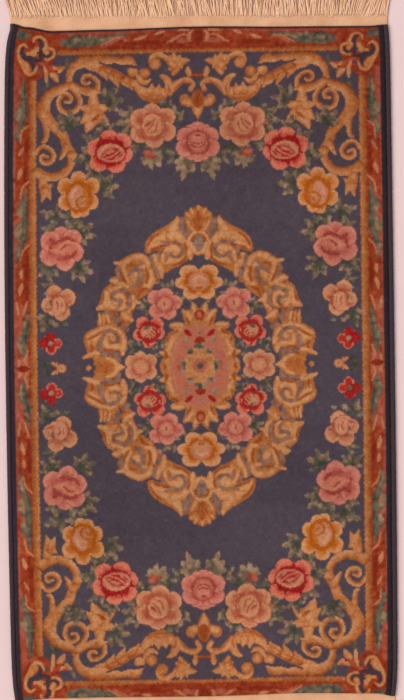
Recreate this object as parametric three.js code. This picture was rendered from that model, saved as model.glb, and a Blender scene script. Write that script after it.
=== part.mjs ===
// A hand-knotted rug lying flat: cut pile on a woven foundation, overcast side cords,
// and a flat-woven band with a fringe of warp yarns at each end.
// Millimetres. X runs across the rug, +Y to its far end, +Z up. The origin is on the floor,
// under the middle of the rug.

import * as THREE from 'three';

const { clamp, lerp, smoothstep } = THREE.MathUtils;

// Driving sizes
const RUG_WIDTH = 908; // over both side cords, at the widest
const PILE_LENGTH = 1556; // knotted pile from end to end, between its mean end lines
const PILE_THICK = 10; // foundation and cut pile together
const PILE_ROUND = 2.5; // rolled edge of the cut pile
const CORD_WIDTH = 12; // overcast side cord
const CORD_THICK = 9;
const CORD_ROUND = 3.5;
const BAND_WIDTH = 24; // flat-woven band at each end
const BAND_THICK = 3; // band and fringe yarns
const FRINGE_LENGTH = 60; // longest yarn, from the band's outer edge
const SEAM = 0.3; // gap between neighbouring pieces

// Fringe locks, each a four-sided strand
const STRANDS = 104; // to each end
const STRAND_ROOT = 5.4; // width where it leaves the band
const STRAND_TIP = 3.6;
const STRAND_STEPS = 3; // straight stretches from root to tip
const LEAN = { reach: 6, turn: 0.37 }; // slow sideways lean of the locks: mm, radians a lock
const STRAY = { reach: 1.2, turn: 1.93 }; // small sideways stray of a single lock
const TRIM = { reach: 6, turn: 2.4 }; // unevenness of the cut ends

// Steps in which the outline is drawn
const SIDE_STEPS = 36;
const END_STEPS = 44;
const ROUND_STEPS = 2;

// How far each long side is drawn in at the far and near ends: an even bow over the whole
// length, and a tuck that is felt only in the last few centimetres before the corner.
const SIDE_DRAW = {
  left: { bow: { far: 10, near: 5.5 }, tuck: { far: 12, near: 6 } },
  right: { bow: { far: 1, near: 3.5 }, tuck: { far: 4, near: 6 } },
};
const TUCK_POWER = 24; // how late the tuck sets in

// How far the pile's end edges stand out from their mean lines.
// across: place along the edge, from -1 at the left side to 1 at the right one.
const END_EDGES = [
  { across: -1.0, far: 16, near: 8 },
  { across: -0.91, far: 6, near: 4 },
  { across: -0.78, far: -4, near: 1 },
  { across: -0.5, far: -2.5, near: 0.5 },
  { across: 0.0, far: 2, near: 1.5 },
  { across: 0.5, far: -1, near: -3 },
  { across: 0.9, far: -2, near: 0 },
  { across: 1.0, far: 1, near: 8 },
];

const HALF_WIDTH = RUG_WIDTH / 2;
const HALF_PILE = PILE_LENGTH / 2;
const HALF_BAND = HALF_PILE + BAND_WIDTH;
const HALF_TOTAL = HALF_BAND + FRINGE_LENGTH;
const CORD_SHARE = 1 - CORD_WIDTH / HALF_WIDTH; // place across of a cord's inner edge
const FAR = 1;
const NEAR = -1;

const COLOURS = { pile: 0x4a3a44, cord: 0x2a2430, band: 0xd9b48c };

// Outer line of a long side at a share along the rug, -1 at the near end and 1 at the far end.
function sideLine(side, along) {
  const share = clamp(along, NEAR, FAR);
  const end = share > 0 ? 'far' : 'near';
  const { bow, tuck } = SIDE_DRAW[side];
  const drawnIn = bow[end] * share ** 2 + tuck[end] * share ** TUCK_POWER;
  return side === 'left' ? drawnIn - HALF_WIDTH : HALF_WIDTH - drawnIn;
}

// Distance of an end edge from the rug's middle, eased from row to row of the table.
function endLine(end, across) {
  const place = clamp(across, -1, 1);
  const next = Math.max(1, END_EDGES.findIndex((row) => row.across >= place));
  const from = END_EDGES[next - 1];
  const to = END_EDGES[next];
  const ease = smoothstep(place, from.across, to.across);
  return HALF_PILE + lerp(from[end], to[end], ease);
}

// A row of evenly spread numbers from one limit to the other, both included.
function spread(from, to, steps) {
  return Array.from({ length: steps + 1 }, (_, i) => lerp(from, to, i / steps));
}

// Shares from -1 to 1 that crowd a little towards both ends, where the outline turns most:
// half way between an even spread and the sine of one.
function crowdedSpread(steps) {
  return spread(-1, 1, steps).map((share) => (share + Math.sin((share * Math.PI) / 2)) / 2);
}

// A flat piece: a plan outline given a thickness and a rounded rim, its underside on the floor.
function flatPiece(name, outline, thick, round, colour) {
  const geometry = new THREE.ExtrudeGeometry(new THREE.Shape(outline), {
    depth: thick - 2 * round,
    bevelEnabled: round > 0,
    bevelThickness: round,
    bevelSize: round,
    bevelOffset: -round,
    bevelSegments: ROUND_STEPS,
  });
  geometry.translate(0, 0, round);
  const material = new THREE.MeshStandardMaterial({ color: colour, roughness: 0.95, metalness: 0 });
  const mesh = new THREE.Mesh(geometry, material);
  mesh.name = name;
  return mesh;
}

// Points along an end, from the left side to the right one. inset: how far the row stops short
// of both sides. gap: how far it stands off the pile's end line.
function endRow(end, sign, inset, gap) {
  const left = sideLine('left', sign) + inset;
  const right = sideLine('right', sign) - inset;
  const reach = 1 - inset / HALF_WIDTH;
  return crowdedSpread(END_STEPS).map((share) => {
    const x = lerp(left, right, (share + 1) / 2);
    return new THREE.Vector2(x, sign * (endLine(end, share * reach) + gap));
  });
}

// Points along a long side between its corners, shifted across by a distance.
function sideRow(side, shift) {
  return crowdedSpread(SIDE_STEPS)
    .slice(1, -1)
    .map((along) => new THREE.Vector2(sideLine(side, along) + shift, along * HALF_PILE));
}

// The pile: inside both side cords, with uneven ends and bowed sides.
function rugBody() {
  const inset = CORD_WIDTH + SEAM;
  const outline = [
    ...endRow('near', NEAR, inset, 0),
    ...sideRow('right', -inset),
    ...endRow('far', FAR, inset, 0).reverse(),
    ...sideRow('left', inset).reverse(),
  ];
  return flatPiece('rug_body', outline, PILE_THICK, PILE_ROUND, COLOURS.pile);
}

// A side cord, following its bowed side from the near band to the far one.
function sideCord(name, side) {
  const outward = side === 'left' ? -1 : 1;
  const endOf = (end) => Math.min(endLine(end, outward), endLine(end, outward * CORD_SHARE));
  const edge = (shift) => [
    new THREE.Vector2(sideLine(side, NEAR) + shift, -endOf('near')),
    ...sideRow(side, shift),
    new THREE.Vector2(sideLine(side, FAR) + shift, endOf('far')),
  ];
  const edges = [edge(0), edge(-outward * CORD_WIDTH)];
  const [leftEdge, rightEdge] = side === 'left' ? edges : edges.reverse();
  const outline = [...rightEdge, ...leftEdge.reverse()];
  return flatPiece(name, outline, CORD_THICK, CORD_ROUND, COLOURS.cord);
}

// One fringe lock as its run of outline points, out along one edge and back along the other.
// It bends away from straight with the square of the distance from its root.
function strandOutline(index, rootX, sign) {
  const bend = LEAN.reach * Math.sin(LEAN.turn * index) + STRAY.reach * Math.sin(STRAY.turn * index);
  const trim = (TRIM.reach * (1 + Math.sin(TRIM.turn * index))) / 2;
  const rows = spread(0, 1, STRAND_STEPS).map((share) => ({
    x: rootX + bend * share ** 2,
    y: sign * lerp(HALF_BAND, HALF_TOTAL - trim, share),
    half: lerp(STRAND_ROOT, STRAND_TIP, share) / 2,
  }));
  const edge = (way) => rows.map((row) => new THREE.Vector2(row.x + way * row.half, row.y));
  return [...edge(-1), ...edge(1).reverse()];
}

// An end band with its fringe: the band's inner edge follows the pile, its outer edge is straight,
// and the locks run out of it side by side.
function fringedBand(name, end, sign) {
  const inner = endRow(end, sign, SEAM, SEAM);
  const left = inner[0].x;
  const right = inner.at(-1).x;
  const pitch = (right - left) / STRANDS;
  const strands = Array.from({ length: STRANDS }, (_, i) =>
    strandOutline(i, left + pitch * (i + 0.5), sign),
  );
  const corner = (x) => new THREE.Vector2(x, sign * HALF_BAND);
  const outer = [corner(left), ...strands.flat(), corner(right)];
  const outline = [...inner, ...outer.reverse()];
  return flatPiece(name, outline, BAND_THICK, 0, COLOURS.band);
}

const rug = new THREE.Group();
rug.add(
  rugBody(),
  sideCord('binding_left', 'left'),
  sideCord('binding_right', 'right'),
  fringedBand('fringe_far', 'far', FAR),
  fringedBand('fringe_near', 'near', NEAR),
);

export default rug;
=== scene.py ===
"""Looks of a hand-knotted rug: knotted pile, woven back, overcast side cords, end bands and fringe.

Metres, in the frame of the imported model: X across the rug, +Y to its far end, +Z up.
The design is a chart of knots, drawn for one quarter and mirrored to the other three.
"""

import math

import bpy
import numpy as np
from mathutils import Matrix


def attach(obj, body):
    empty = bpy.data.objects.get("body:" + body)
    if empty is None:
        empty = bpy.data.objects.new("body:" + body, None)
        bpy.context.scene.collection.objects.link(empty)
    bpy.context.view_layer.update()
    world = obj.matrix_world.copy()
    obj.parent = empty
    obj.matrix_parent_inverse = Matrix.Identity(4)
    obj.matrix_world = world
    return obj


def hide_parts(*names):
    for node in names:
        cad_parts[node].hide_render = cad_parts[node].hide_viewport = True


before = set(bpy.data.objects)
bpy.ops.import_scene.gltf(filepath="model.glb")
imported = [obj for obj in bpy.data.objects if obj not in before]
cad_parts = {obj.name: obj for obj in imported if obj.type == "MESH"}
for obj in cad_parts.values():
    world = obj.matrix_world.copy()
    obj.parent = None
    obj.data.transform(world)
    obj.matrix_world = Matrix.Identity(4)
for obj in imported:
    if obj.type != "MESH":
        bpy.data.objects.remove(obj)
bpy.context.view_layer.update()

MM = 0.001

# Sizes of the rug, the same as the solids have
HALF_WIDTH = 454 * MM
HALF_PILE = 778 * MM
HALF_BAND = HALF_PILE + 24 * MM
HALF_TOTAL = HALF_BAND + 60 * MM
PILE_TOP = 10 * MM
BACK_TOP = 2.4 * MM
CORD_WIDTH = 12 * MM
CORD_THICK = 9 * MM
BAND_THICK = 3 * MM
SEAM = 0.3 * MM
BAND_SPREAD = 4.5 * MM  # how much wider the shown band is at its middle than the solid's

# Steps and sides of the meshes, and the turns of their yarns
CORD_STEPS = 1300
CORD_SIDES = 14
WRAP = 4.6 * MM  # along a cord, from one turn of its winding to the next
BAND_ROWS = 14
BAND_COLUMNS = 440
BUNDLES = 84  # to each layer of a fringe
BUNDLE = 3  # yarns to a bundle
YARN_STEPS = 18
YARN_SIDES = 6
YARN_SIZES = (1.75 * MM, 1.4 * MM)  # half thickness in the lower and the upper layer
PLY_TURN = 9 * MM  # along a yarn, for half a turn of its two plies
PLY_DEEP = 0.14  # how far their oval departs from round

# Winding of the cords, as shares: how much they narrow between two turns, how much their size wanders,
# and depth and half width of the groove along the top
WRAP_NARROW = 0.07
CORD_WANDER = 0.04
GROOVE_DEEP = 0.1
GROOVE_WIDE = 0.3

# Bands: height of a warp rib and of the slow buckles, how far the cloth lies under the solid's top, how
# far its rim is rounded off, and that rim's rings of how far out and how high
BAND_RIB = 0.12 * MM
BAND_BUCKLE = 0.25 * MM
BAND_SHORT = 0.5 * MM
BAND_ROUND = 0.6 * MM
BAND_RINGS = ((0, 0.2 * MM), (-0.2 * MM, 0))

# Fringe: where along a yarn its bundle draws together, over what share of it and how much at most, how
# much a bundle and a yarn sway from the lean, the reach of a yarn's own wave, and how far past the
# sides it may go. In whole millimetres, how much further in the upper yarns start, and how uneven
# the cut ends are.
GATHER_AT = 0.24
GATHER_RUN = 0.2
GATHER_MOST = 0.7
BUNDLE_SWAY = 0.1
YARN_SWAY = 0.06
YARN_WAVE = 1.5 * MM
FRINGE_OUT = 2 * MM
YARN_START = 6
YARN_TRIM = 8

# Unevenness of the pile: stray of a knot's place, roughness and slow swell of its height, how far it
# lies under the solid's top, how far its rim is rounded off, and that rim's rings
PILE_STRAY = 0.22 * MM
PILE_ROUGH = 0.16 * MM
PILE_SWELL = 0.25 * MM
PILE_SHORT = 0.5 * MM
PILE_ROUND = 2.4 * MM
PILE_RINGS = ((0.1 * MM, 5 * MM), (-0.3 * MM, BACK_TOP + 0.1 * MM))
END_ZONE = 0.18  # share of the half length over which the rows take on their end's line
ROW_SKEW = math.radians(0.3)  # of the rows between

FAR = 1
NEAR = -1

# How far each long side is drawn in at its far and near ends: an even bow, and a late tuck
BOW = {"left": (10 * MM, 5.5 * MM), "right": (1 * MM, 3.5 * MM)}
TUCK = {"left": (12 * MM, 6 * MM), "right": (4 * MM, 6 * MM)}
TUCK_POWER = 24

# How far the pile's end edges stand out from their mean lines, place by place across
END_PLACES = np.array([-1.0, -0.91, -0.78, -0.5, 0.0, 0.5, 0.9, 1.0])
END_STANDS = {
    FAR: np.array([16, 6, -4, -2.5, 2, -1, -2, 1]) * MM,
    NEAR: np.array([8, 4, 1, 0.5, 1.5, -3, 0, 8]) * MM,
}

# How far the fringe leans, as a share of its length, place by place across
LEAN_PLACES = np.array([-1.0, -0.9, -0.66, -0.2, 0.3, 0.7, 0.88, 1.0])
LEANS = np.array([-0.22, -0.34, -0.2, -0.12, -0.06, 0.04, 0.36, 0.16])


def side_line(side, along):
    """Outer line of a long side: the half width less a bow (square of the share along) and a tuck."""
    share = np.clip(along, -1, 1)
    bow = np.where(share > 0, *BOW[side])
    tuck = np.where(share > 0, *TUCK[side])
    drawn_in = bow * share**2 + tuck * share**TUCK_POWER
    return drawn_in - HALF_WIDTH if side == "left" else HALF_WIDTH - drawn_in


def end_stand(end, across):
    """How far an end edge stands out, eased from place to place of its table."""
    place = np.clip(across, -1, 1)
    step = np.clip(np.searchsorted(END_PLACES, place), 1, len(END_PLACES) - 1)
    low, high = END_PLACES[step - 1], END_PLACES[step]
    share = (place - low) / (high - low)
    ease = share * share * (3 - 2 * share)
    stands = END_STANDS[end]
    return stands[step - 1] * (1 - ease) + stands[step] * ease


def band_edge(across):
    """Outer line of an end band: its mean line and a spread that falls evenly from left to right."""
    return HALF_BAND + BAND_SPREAD * (1 - np.clip(across, -1, 1))


# Yarns: each ramp goes from its dark yarn through the middle one to the light one, as seen (sRGB)
RAMPS = {
    "field": ((66, 55, 63), (77, 65, 73), (88, 75, 84)),
    "midnight": ((34, 28, 36), (50, 40, 48), (70, 57, 65)),
    "gold": ((134, 62, 26), (173, 102, 52), (202, 141, 94)),
    "umber": ((118, 48, 20), (150, 72, 28), (180, 104, 52)),
    "rust": ((126, 36, 14), (151, 58, 28), (173, 87, 51)),
    "coral": ((144, 58, 40), (166, 80, 58), (182, 102, 76)),
    "green": ((62, 62, 53), (84, 78, 63), (112, 98, 76)),
    "sage": ((82, 74, 60), (112, 93, 72), (160, 125, 99)),
    "straw": ((104, 88, 68), (140, 112, 86), (168, 134, 104)),
    "beige": ((164, 92, 56), (186, 118, 80), (204, 144, 106)),
    "pink": ((146, 56, 48), (178, 90, 75), (201, 124, 102)),
    "red": ((142, 20, 20), (172, 44, 35), (206, 114, 88)),
    "orange": ((168, 82, 10), (189, 108, 44), (205, 143, 100)),
    "peach": ((152, 76, 50), (177, 104, 72), (199, 135, 98)),
    "blush": ((160, 88, 62), (188, 117, 84), (204, 143, 109)),
    "lilac": ((108, 76, 64), (132, 97, 83), (152, 115, 99)),
    "salmon": ((164, 83, 62), (182, 101, 77), (194, 118, 94)),
}
RAMP_NAMES = list(RAMPS)
TONES = 5  # yarns that are dyed to each ramp
LEAN_OVER = 0.1  # how much of each of its four neighbours shows at a knot, as the cut pile leans

# Unevenness of the dye. How much a ramp's tone changes from patch to patch, for some ramps and for all
# the others, then the size of such patches in knots, and the scatter from knot to knot.
PATCHY = {
    "green": 0.3, "lilac": 0.3, "sage": 0.28, "straw": 0.28,
    "rust": 0.2, "coral": 0.2, "field": 0.12, "gold": 0.1,
}
PATCHY_OTHERS = 0.08
PATCH_SIZE = 3.2
TONE_SCATTER = 0.06

# How much the colour changes with the dye lots from row to row, with wear from column to column, in
# large patches and from knot to knot, and over how many knots
LOT_CHANGE, LOT_SIZE = 0.035, 9
WEAR_CHANGE, WEAR_SIZE = 0.02, 14
CLOUD_CHANGE, CLOUD_SIZE = 0.05, 52
KNOT_SCATTER = 0.07

# Painted shade on the whole pile, standing in for the sheen of its leaning nap: lighter by the near end,
# deeper by the far one. Shares of the far half's length, and how much of red, green and blue is left at
# each.
NAP_SHADE_RUN = (-0.85, -0.5, 0.45, 0.8)
NAP_SHADE_LEVELS = ((1.05, 1, 1, 0.91), (1.02, 1, 1, 0.865), (1.02, 1, 1, 0.87))
# How much more of each the painted shade takes away in the far right corner
CORNER_SHADE = (0.055, 0.085, 0.085)
CORNER_SHADE_RUN = 0.8  # share of the far half's length where that is full

# The chart: its knots to each side of the middle, and their size in chart units
KNOTS_ACROSS = 180
KNOTS_FAR = 320
KNOTS_NEAR = 312
KNOT_WIDE = 189.4 / KNOTS_ACROSS
KNOT_LONG = 667.2 / (KNOTS_FAR + KNOTS_NEAR)

# Most tables hold points that were read off the photo. They are counted in its pixels, one
# to a chart unit: the rug's middle there, and how far its columns and rows run askew.
PHOTO_MIDDLE = (200, 366)
COLUMN_LEAN = 0.0101
ROW_LEAN = 0.0185

# Lines: steps from row to row, and the least half width
LINE_STEPS = 9
LINE_LEAST = 0.35

# How much a stroke and a knob darken towards their rims
STROKE_EDGE = 0.15
KNOB_EDGE = 0.5

# Leaves: depth and beat of the teeth, the share along at which the tip's ramp starts, the tone at the
# middle and how it grows across and along, and a spray's spread to each side in degrees and its leaves'
# width as a share of their length
TOOTH_DEPTH = 0.26
TOOTH_BEAT = 17
TIP_START = 0.34
LEAF_TONE = 0.46
LEAF_ACROSS = 0.22
LEAF_ALONG = 0.5
SPRAY_FAN = 62
SPRAY_LEAF = 0.46

# Roses: depth and number of the waves round a petal's rim, its tone there, how far past it the dark
# line reaches, that line's tone for a ramp that has its own, the heart's size, and the tone of the
# heart and of all other lines
PETAL_WAVE = 0.05
PETAL_WAVES = 5
PETAL_LIGHT = 0.98
PETAL_LINE = 1.13
LINE_TONES = {"red": 0.62}
HEART_SIZE = 0.45
HEART_TONE = 0.35


class Chart:
    """One quarter of the design: each knot's place in chart units, its ramp and its tone."""

    def __init__(self, across, along):
        grid = np.meshgrid(across, along)
        self.shape = grid[0].shape
        self.x = grid[0].ravel()
        self.y = grid[1].ravel()
        self.yarn = np.zeros(self.x.size, int)
        self.tone = np.full(self.x.size, 0.5)

    def lay(self, where, ramp, tone):
        """Knots one ramp's yarns into part of the chart."""
        self.yarn[where] = RAMP_NAMES.index(ramp)
        self.tone[where] = tone

    def spot(self, x, y, reach):
        """The knots within reach of a set of points, as a box."""
        wide = (self.x > np.min(x) - reach) & (self.x < np.max(x) + reach)
        return np.flatnonzero(wide & (self.y > np.min(y) - reach) & (self.y < np.max(y) + reach))

    def limb(self, ramp, rows, tone=0.9, light=0.0, flank=0.0, edge=0.66):
        """A scroll's limb: a smooth line through rows of x, y and half width.

        A knot is in it if it is nearer than the half width. Its tone falls by edge from the line to
        both rims. light lifts the side that faces the middle of the rug, and flank the left side.
        """
        line = smooth_line(np.array(rows, float))
        spot = self.spot(line[:, 0], line[:, 1], line[:, 2].max())
        aside_x = self.x[spot, None] - line[:, 0]
        aside_y = self.y[spot, None] - line[:, 1]
        gap = np.hypot(aside_x, aside_y) - line[:, 2]
        nearest = gap.argmin(axis=1)
        pick = (np.arange(spot.size), nearest)
        half = line[nearest, 2]
        ahead = np.gradient(line[:, :2], axis=0)[nearest]
        across = (ahead[:, 0] * aside_y[pick] - ahead[:, 1] * aside_x[pick]) / np.hypot(*ahead.T)
        outward = self.x[spot] * aside_x[pick] + self.y[spot] * aside_y[pick]
        inward = -outward / np.hypot(self.x[spot], self.y[spot])
        off = 1 + gap[pick] / half
        shade = tone + (flank * across + light * inward) / half - edge * np.clip(off, 0, 1) ** 2
        inside = gap[pick] < 0
        self.lay(spot[inside], ramp, shade[inside])

    def limbs(self, ramp, table, place=None, grow=0.0, **look):
        """Draws each line of a table as a limb, wider by grow to each side. place takes a line's rows
        to the chart."""
        for rows in table:
            self.limb(ramp, (place or square_up)(rows) + (0, 0, grow), **look)

    def strokes(self, table, place):
        """Strokes of one tone each. place takes a stroke's rows to the chart."""
        for ramp, tone, rows in table:
            self.limb(ramp, place(np.array(rows, float)), tone, edge=STROKE_EDGE)

    def touches(self, table, place):
        """Single limbs, each with its own tone and edge. place takes a limb's rows to the chart."""
        for ramp, tone, edge, rows in table:
            self.limb(ramp, place(rows), tone, edge=edge)

    def knob(self, ramp, x, y, size, tone):
        """A round knob, darker towards its rim, placed as square_up takes it."""
        x, y, size = square_up([(x, y, size)])[0]
        self.oval(ramp, x, y, size, size, tone, edge=KNOB_EDGE)

    def oval(self, ramp, x, y, wide, long, tone=0.5, turn=0.0, edge=0.0):
        """An oval patch, darker by edge at its rim."""
        way = math.radians(turn)
        spot = self.spot(x, y, max(wide, long))
        aside_x = self.x[spot] - x
        aside_y = self.y[spot] - y
        along = aside_x * math.cos(way) + aside_y * math.sin(way)
        across = aside_y * math.cos(way) - aside_x * math.sin(way)
        off = (along / wide) ** 2 + (across / long) ** 2
        inside = off < 1
        self.lay(spot[inside], ramp, tone - edge * off[inside])

    def leaf(self, x, y, turn, length, width, tip="sage", base="green"):
        """A pointed leaf from x, y towards turn degrees: a lens about its midrib, whose half width
        is the sine of the share along it, with small teeth. The tip has its own ramp."""
        way = math.radians(turn)
        spot = self.spot(x, y, length)
        aside_x = self.x[spot] - x
        aside_y = self.y[spot] - y
        along = (aside_x * math.cos(way) + aside_y * math.sin(way)) / length
        across = (aside_y * math.cos(way) - aside_x * math.sin(way)) / (width / 2)
        teeth = 1 + TOOTH_DEPTH * np.sin(along * TOOTH_BEAT)
        limit = np.sin(np.pi * np.clip(along, 0, 1) ** 0.8) * teeth
        inside = (along > 0) & (along < 1) & (np.abs(across) < limit)
        shade = LEAF_TONE + LEAF_ACROSS * across + LEAF_ALONG * (along - 0.5)
        outer = inside & (along + 0.15 * across > TIP_START)
        self.lay(spot[inside], base, shade[inside])
        self.lay(spot[outer], tip, shade[outer])

    def spray(self, x, y, turn, length, steps):
        """A fan of narrow leaves from one stalk, one more than its steps, longest in the middle."""
        for lean in np.linspace(-SPRAY_FAN, SPRAY_FAN, steps + 1):
            long = length * (1 - 0.25 * abs(lean) / SPRAY_FAN)
            self.leaf(x, y, turn + lean, long, SPRAY_LEAF * long)

    def rose(self, kind, x, y, wide, long):
        """A rose: round petals seated about the heart, laid one over the next, with a dark line
        where they overlap. Each is light at its rim, and darkest at its root, towards the heart.
        The kind's strokes draw ring, cup and folds, in shares of the half width and half length."""
        ramp, deep, fall, petals, strokes = ROSES[kind]
        spot = self.spot(x, y, max(wide, long) * 1.2)
        aside_x = (self.x[spot] - x) / wide
        aside_y = (self.y[spot] - y) / long
        far = np.hypot(aside_x, aside_y)
        seats = [(aside_x - out, aside_y - up) for out, up, _ in petals]
        offs = [np.hypot(*seat) / size for seat, (_, _, size) in zip(seats, petals)]
        whole = np.min(offs, axis=0) < 1
        for (right, above), off, (out, up, size) in zip(seats, offs, petals):
            off = off * (1 + PETAL_WAVE * np.cos(PETAL_WAVES * np.arctan2(above, right) + 9 * out))
            self.lay(spot[whole & (off < PETAL_LINE)], ramp, LINE_TONES.get(ramp, HEART_TONE))
            inside = whole & (off < 1)
            root = -(right * out + above * up) / (size * math.hypot(out, up) + 0.001)
            sunk = np.clip(1.5 - 1.5 * off, 0, 1)
            shade = PETAL_LIGHT - deep * sunk - fall * sunk * np.clip(root + 0.5, 0, 1.2)
            self.lay(spot[inside], ramp, shade[inside])
        self.lay(spot[far < HEART_SIZE], ramp, HEART_TONE)
        middle = (x, y, 0)
        shares = (wide, long, (wide + long) / 2)
        self.strokes(strokes, lambda rows: rows * shares + middle)


def square_up(rows):
    """Takes rows of x, y and size to the chart. They are counted in photo pixels from the rug's
    middle, left and up, and its columns and rows run askew there."""
    rows = np.array(rows, float)
    x = rows[:, 0] - COLUMN_LEAN * rows[:, 1]
    y = rows[:, 1] + ROW_LEAN * rows[:, 0]
    return np.column_stack((x, y, rows[:, 2]))


def from_corner(rows):
    """Takes rows to the chart that are counted in photo pixels from the photo's upper left corner,
    right and down."""
    column, row, size = np.array(rows, float).T
    return square_up(np.column_stack((PHOTO_MIDDLE[0] - column, PHOTO_MIDDLE[1] - row, size)))


def smooth_line(rows):
    """A line through rows of x, y and half width: each stretch is a cubic whose slope at a row is
    half the way from the row before to the row after."""
    ends = np.vstack((2 * rows[0] - rows[1], rows, 2 * rows[-1] - rows[-2]))
    before, start, stop, after = ends[:-3, None], ends[1:-2, None], ends[2:-1, None], ends[3:, None]
    t = np.linspace(0, 1, LINE_STEPS, endpoint=False)[None, :, None]
    cubic = (3 * (start - stop) + after - before) * t**3
    square = (2 * before - 5 * start + 4 * stop - after) * t**2
    line = start + 0.5 * ((stop - before) * t + square + cubic)
    line = np.vstack((line.reshape(-1, 3), rows[-1:]))
    line[:, 2] = np.maximum(line[:, 2], LINE_LEAST)
    return line


# Both edges of the beaded stripe, and where the dark guard starts, along the sides and at the ends. The
# right guard is wider, and is counted in knots.
STRIPE = (161.9, 169.3)
END_STRIPE = (312.3, 319.9)
BEAD = 4.7
GUARD = 185.3
END_GUARD = 335.6
RIGHT_GUARD = 5
GUARD_TONE = 0.4

# Border strokes: ramp, tone, and rows of place along, share out from the stripe and half width
SIDE_STROKES = (
    ("coral", 0.45, ((0, 0.88, 2.6), (30, 0.9, 2.6), (58, 0.85, 3), (66, 0.8, 1.8))),
    ("coral", 0.5, ((62, 0.5, 2), (52, 0.62, 3.4), (44, 0.75, 2.4))),
    ("coral", 0.7, ((-2, 0.4, 6.4), (7, 0.4, 5), (17, 0.3, 3))),
    ("beige", 0.5, ((9, 0.74, 0.8), (6, 0.68, 1.5), (3, 0.76, 0.8))),
    ("beige", 0.5, ((17, 0.14, 0.7), (10, 0.34, 1.2), (4, 0.24, 1))),
    ("rust", 0.1, ((0, 0.06, 0.8), (0, 0.48, 3.2), (0, 0.86, 0.8))),
    ("green", 0.86, ((11, 0.47, 0.6), (18, 0.46, 3.3), (27, 0.47, 4.6), (36, 0.35, 4.8), (44, 0.26, 3.6))),
    ("green", 0.8, ((42, 0.26, 3.6), (52, 0.16, 1.8), (60, 0.12, 0.6))),
    ("coral", 0.5, ((32, 0.78, 0.8), (37, 0.62, 1.8), (44, 0.55, 1))),
    ("green", 0.36, ((22, 0.3, 0.8), (34, 0.22, 1.5), (48, 0.1, 0.8))),
    ("sage", 0.7, ((17, 0.6, 1.1), (25, 0.66, 2.6), (31, 0.58, 1.1))),
    ("sage", 0.55, ((37, 0.36, 0.8), (42, 0.34, 1.6), (47, 0.26, 0.8))),
    ("beige", 0.5, ((66, 0.85, 0.9), (60, 0.76, 1.2), (54, 0.72, 0.7))),
    ("beige", 0.45, ((67, 0.16, 0.9), (60, 0.3, 1.3), (53, 0.4, 0.8))),
    ("rust", 0.1, ((70, 0.18, 1), (90, 0.2, 2), (112, 0.12, 1))),
    ("coral", 0.4, ((70, 0.9, 1.4), (90, 0.94, 1.9), (112, 0.88, 2.4), (128, 0.88, 2.8), (146, 0.92, 2.4))),
    ("beige", 0.6, ((74, 0.62, 0.9), (79, 0.57, 2.2), (85, 0.46, 1))),
    ("beige", 0.55, ((91, 0.5, 0.9), (95, 0.52, 1.8), (99, 0.48, 0.8))),
    ("green", 0.86, (
        (104, 0.5, 0.7), (112, 0.72, 2.2), (121, 0.62, 3.4), (130, 0.45, 4.8), (139, 0.5, 6.4),
    )),
    ("green", 0.86, ((137, 0.5, 6), (149, 0.4, 4), (159, 0.46, 5), (168, 0.3, 3), (180, 0.2, 0.7))),
    ("coral", 0.5, ((122, 0.92, 0.9), (126, 0.76, 1.8), (129, 0.72, 0.8))),
    ("coral", 0.5, ((145, 0.86, 1.4), (149, 0.64, 2), (151, 0.5, 0.8))),
    ("coral", 0.4, ((163, 0.84, 1.4), (168, 0.6, 2), (176, 0.46, 1.2))),
    ("green", 0.36, ((122, 0.4, 0.8), (134, 0.16, 1.4), (150, 0.14, 1.6), (172, 0.14, 0.8))),
    ("straw", 0.4, ((152, 0.54, 1.6), (157, 0.58, 3.1), (162, 0.5, 1.4))),
    ("straw", 0.5, ((131, 0.72, 1.6), (138, 0.7, 3.8), (143, 0.56, 1.6))),
    ("sage", 0.7, ((110, 0.64, 1), (115, 0.72, 2), (121, 0.6, 1.2))),
    ("beige", 0.3, ((134, 0.56, 0.6), (137, 0.58, 1.2), (140, 0.52, 0.6))),
    ("beige", 0.4, ((124, 0.03, 0.7), (117, 0.42, 1), (107, 0.56, 0.7))),
    ("beige", 0.5, ((187, 0.02, 0.8), (181, 0.42, 1.1), (171, 0.55, 0.8))),
    ("coral", 0.6, ((187, 0.95, 0.8), (178, 0.92, 1.1), (168, 0.88, 0.7))),
    ("rust", 0.1, ((188, 0.3, 1.2), (205, 0.2, 2.2), (226, 0.15, 1.6))),
    ("beige", 0.6, ((190, 0.66, 0.9), (195, 0.57, 2.2), (200, 0.5, 0.9))),
    ("beige", 0.4, ((213, 0.62, 0.8), (217, 0.5, 1.6), (221, 0.36, 0.8))),
    ("coral", 0.5, ((192, 0.95, 1.6), (215, 0.95, 1.8), (236, 0.9, 2), (250, 0.93, 2), (270, 0.86, 3))),
    ("green", 0.86, (
        (224, 0.5, 0.6), (232, 0.74, 2.4), (242, 0.6, 4.4), (254, 0.52, 6.2), (266, 0.4, 4.6),
    )),
    ("green", 0.8, ((264, 0.4, 4.6), (277, 0.36, 3.2), (286, 0.34, 1.6), (292, 0.33, 0.5))),
    ("green", 0.36, ((243, 0.4, 0.8), (256, 0.16, 1.4), (274, 0.24, 1.4), (288, 0.3, 0.7))),
    ("coral", 0.5, ((236, 0.92, 0.9), (245, 0.8, 1.6), (249, 0.7, 0.7))),
    ("coral", 0.5, ((259, 0.9, 0.9), (265, 0.72, 2), (269, 0.6, 0.8))),
    ("straw", 0.5, ((249, 0.66, 1.5), (255, 0.7, 3.3), (260, 0.6, 1.4))),
    ("straw", 0.35, ((270, 0.5, 1.1), (275, 0.48, 2.1), (281, 0.42, 0.9))),
    ("sage", 0.65, ((231, 0.7, 0.9), (236, 0.74, 1.9), (241, 0.62, 1.1))),
    ("beige", 0.45, ((242, 0.06, 0.7), (237, 0.48, 1), (226, 0.55, 0.8))),
    ("coral", 0.4, ((268, 0.8, 2), (280, 0.78, 2.8), (294, 0.75, 2.8))),
)
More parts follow.
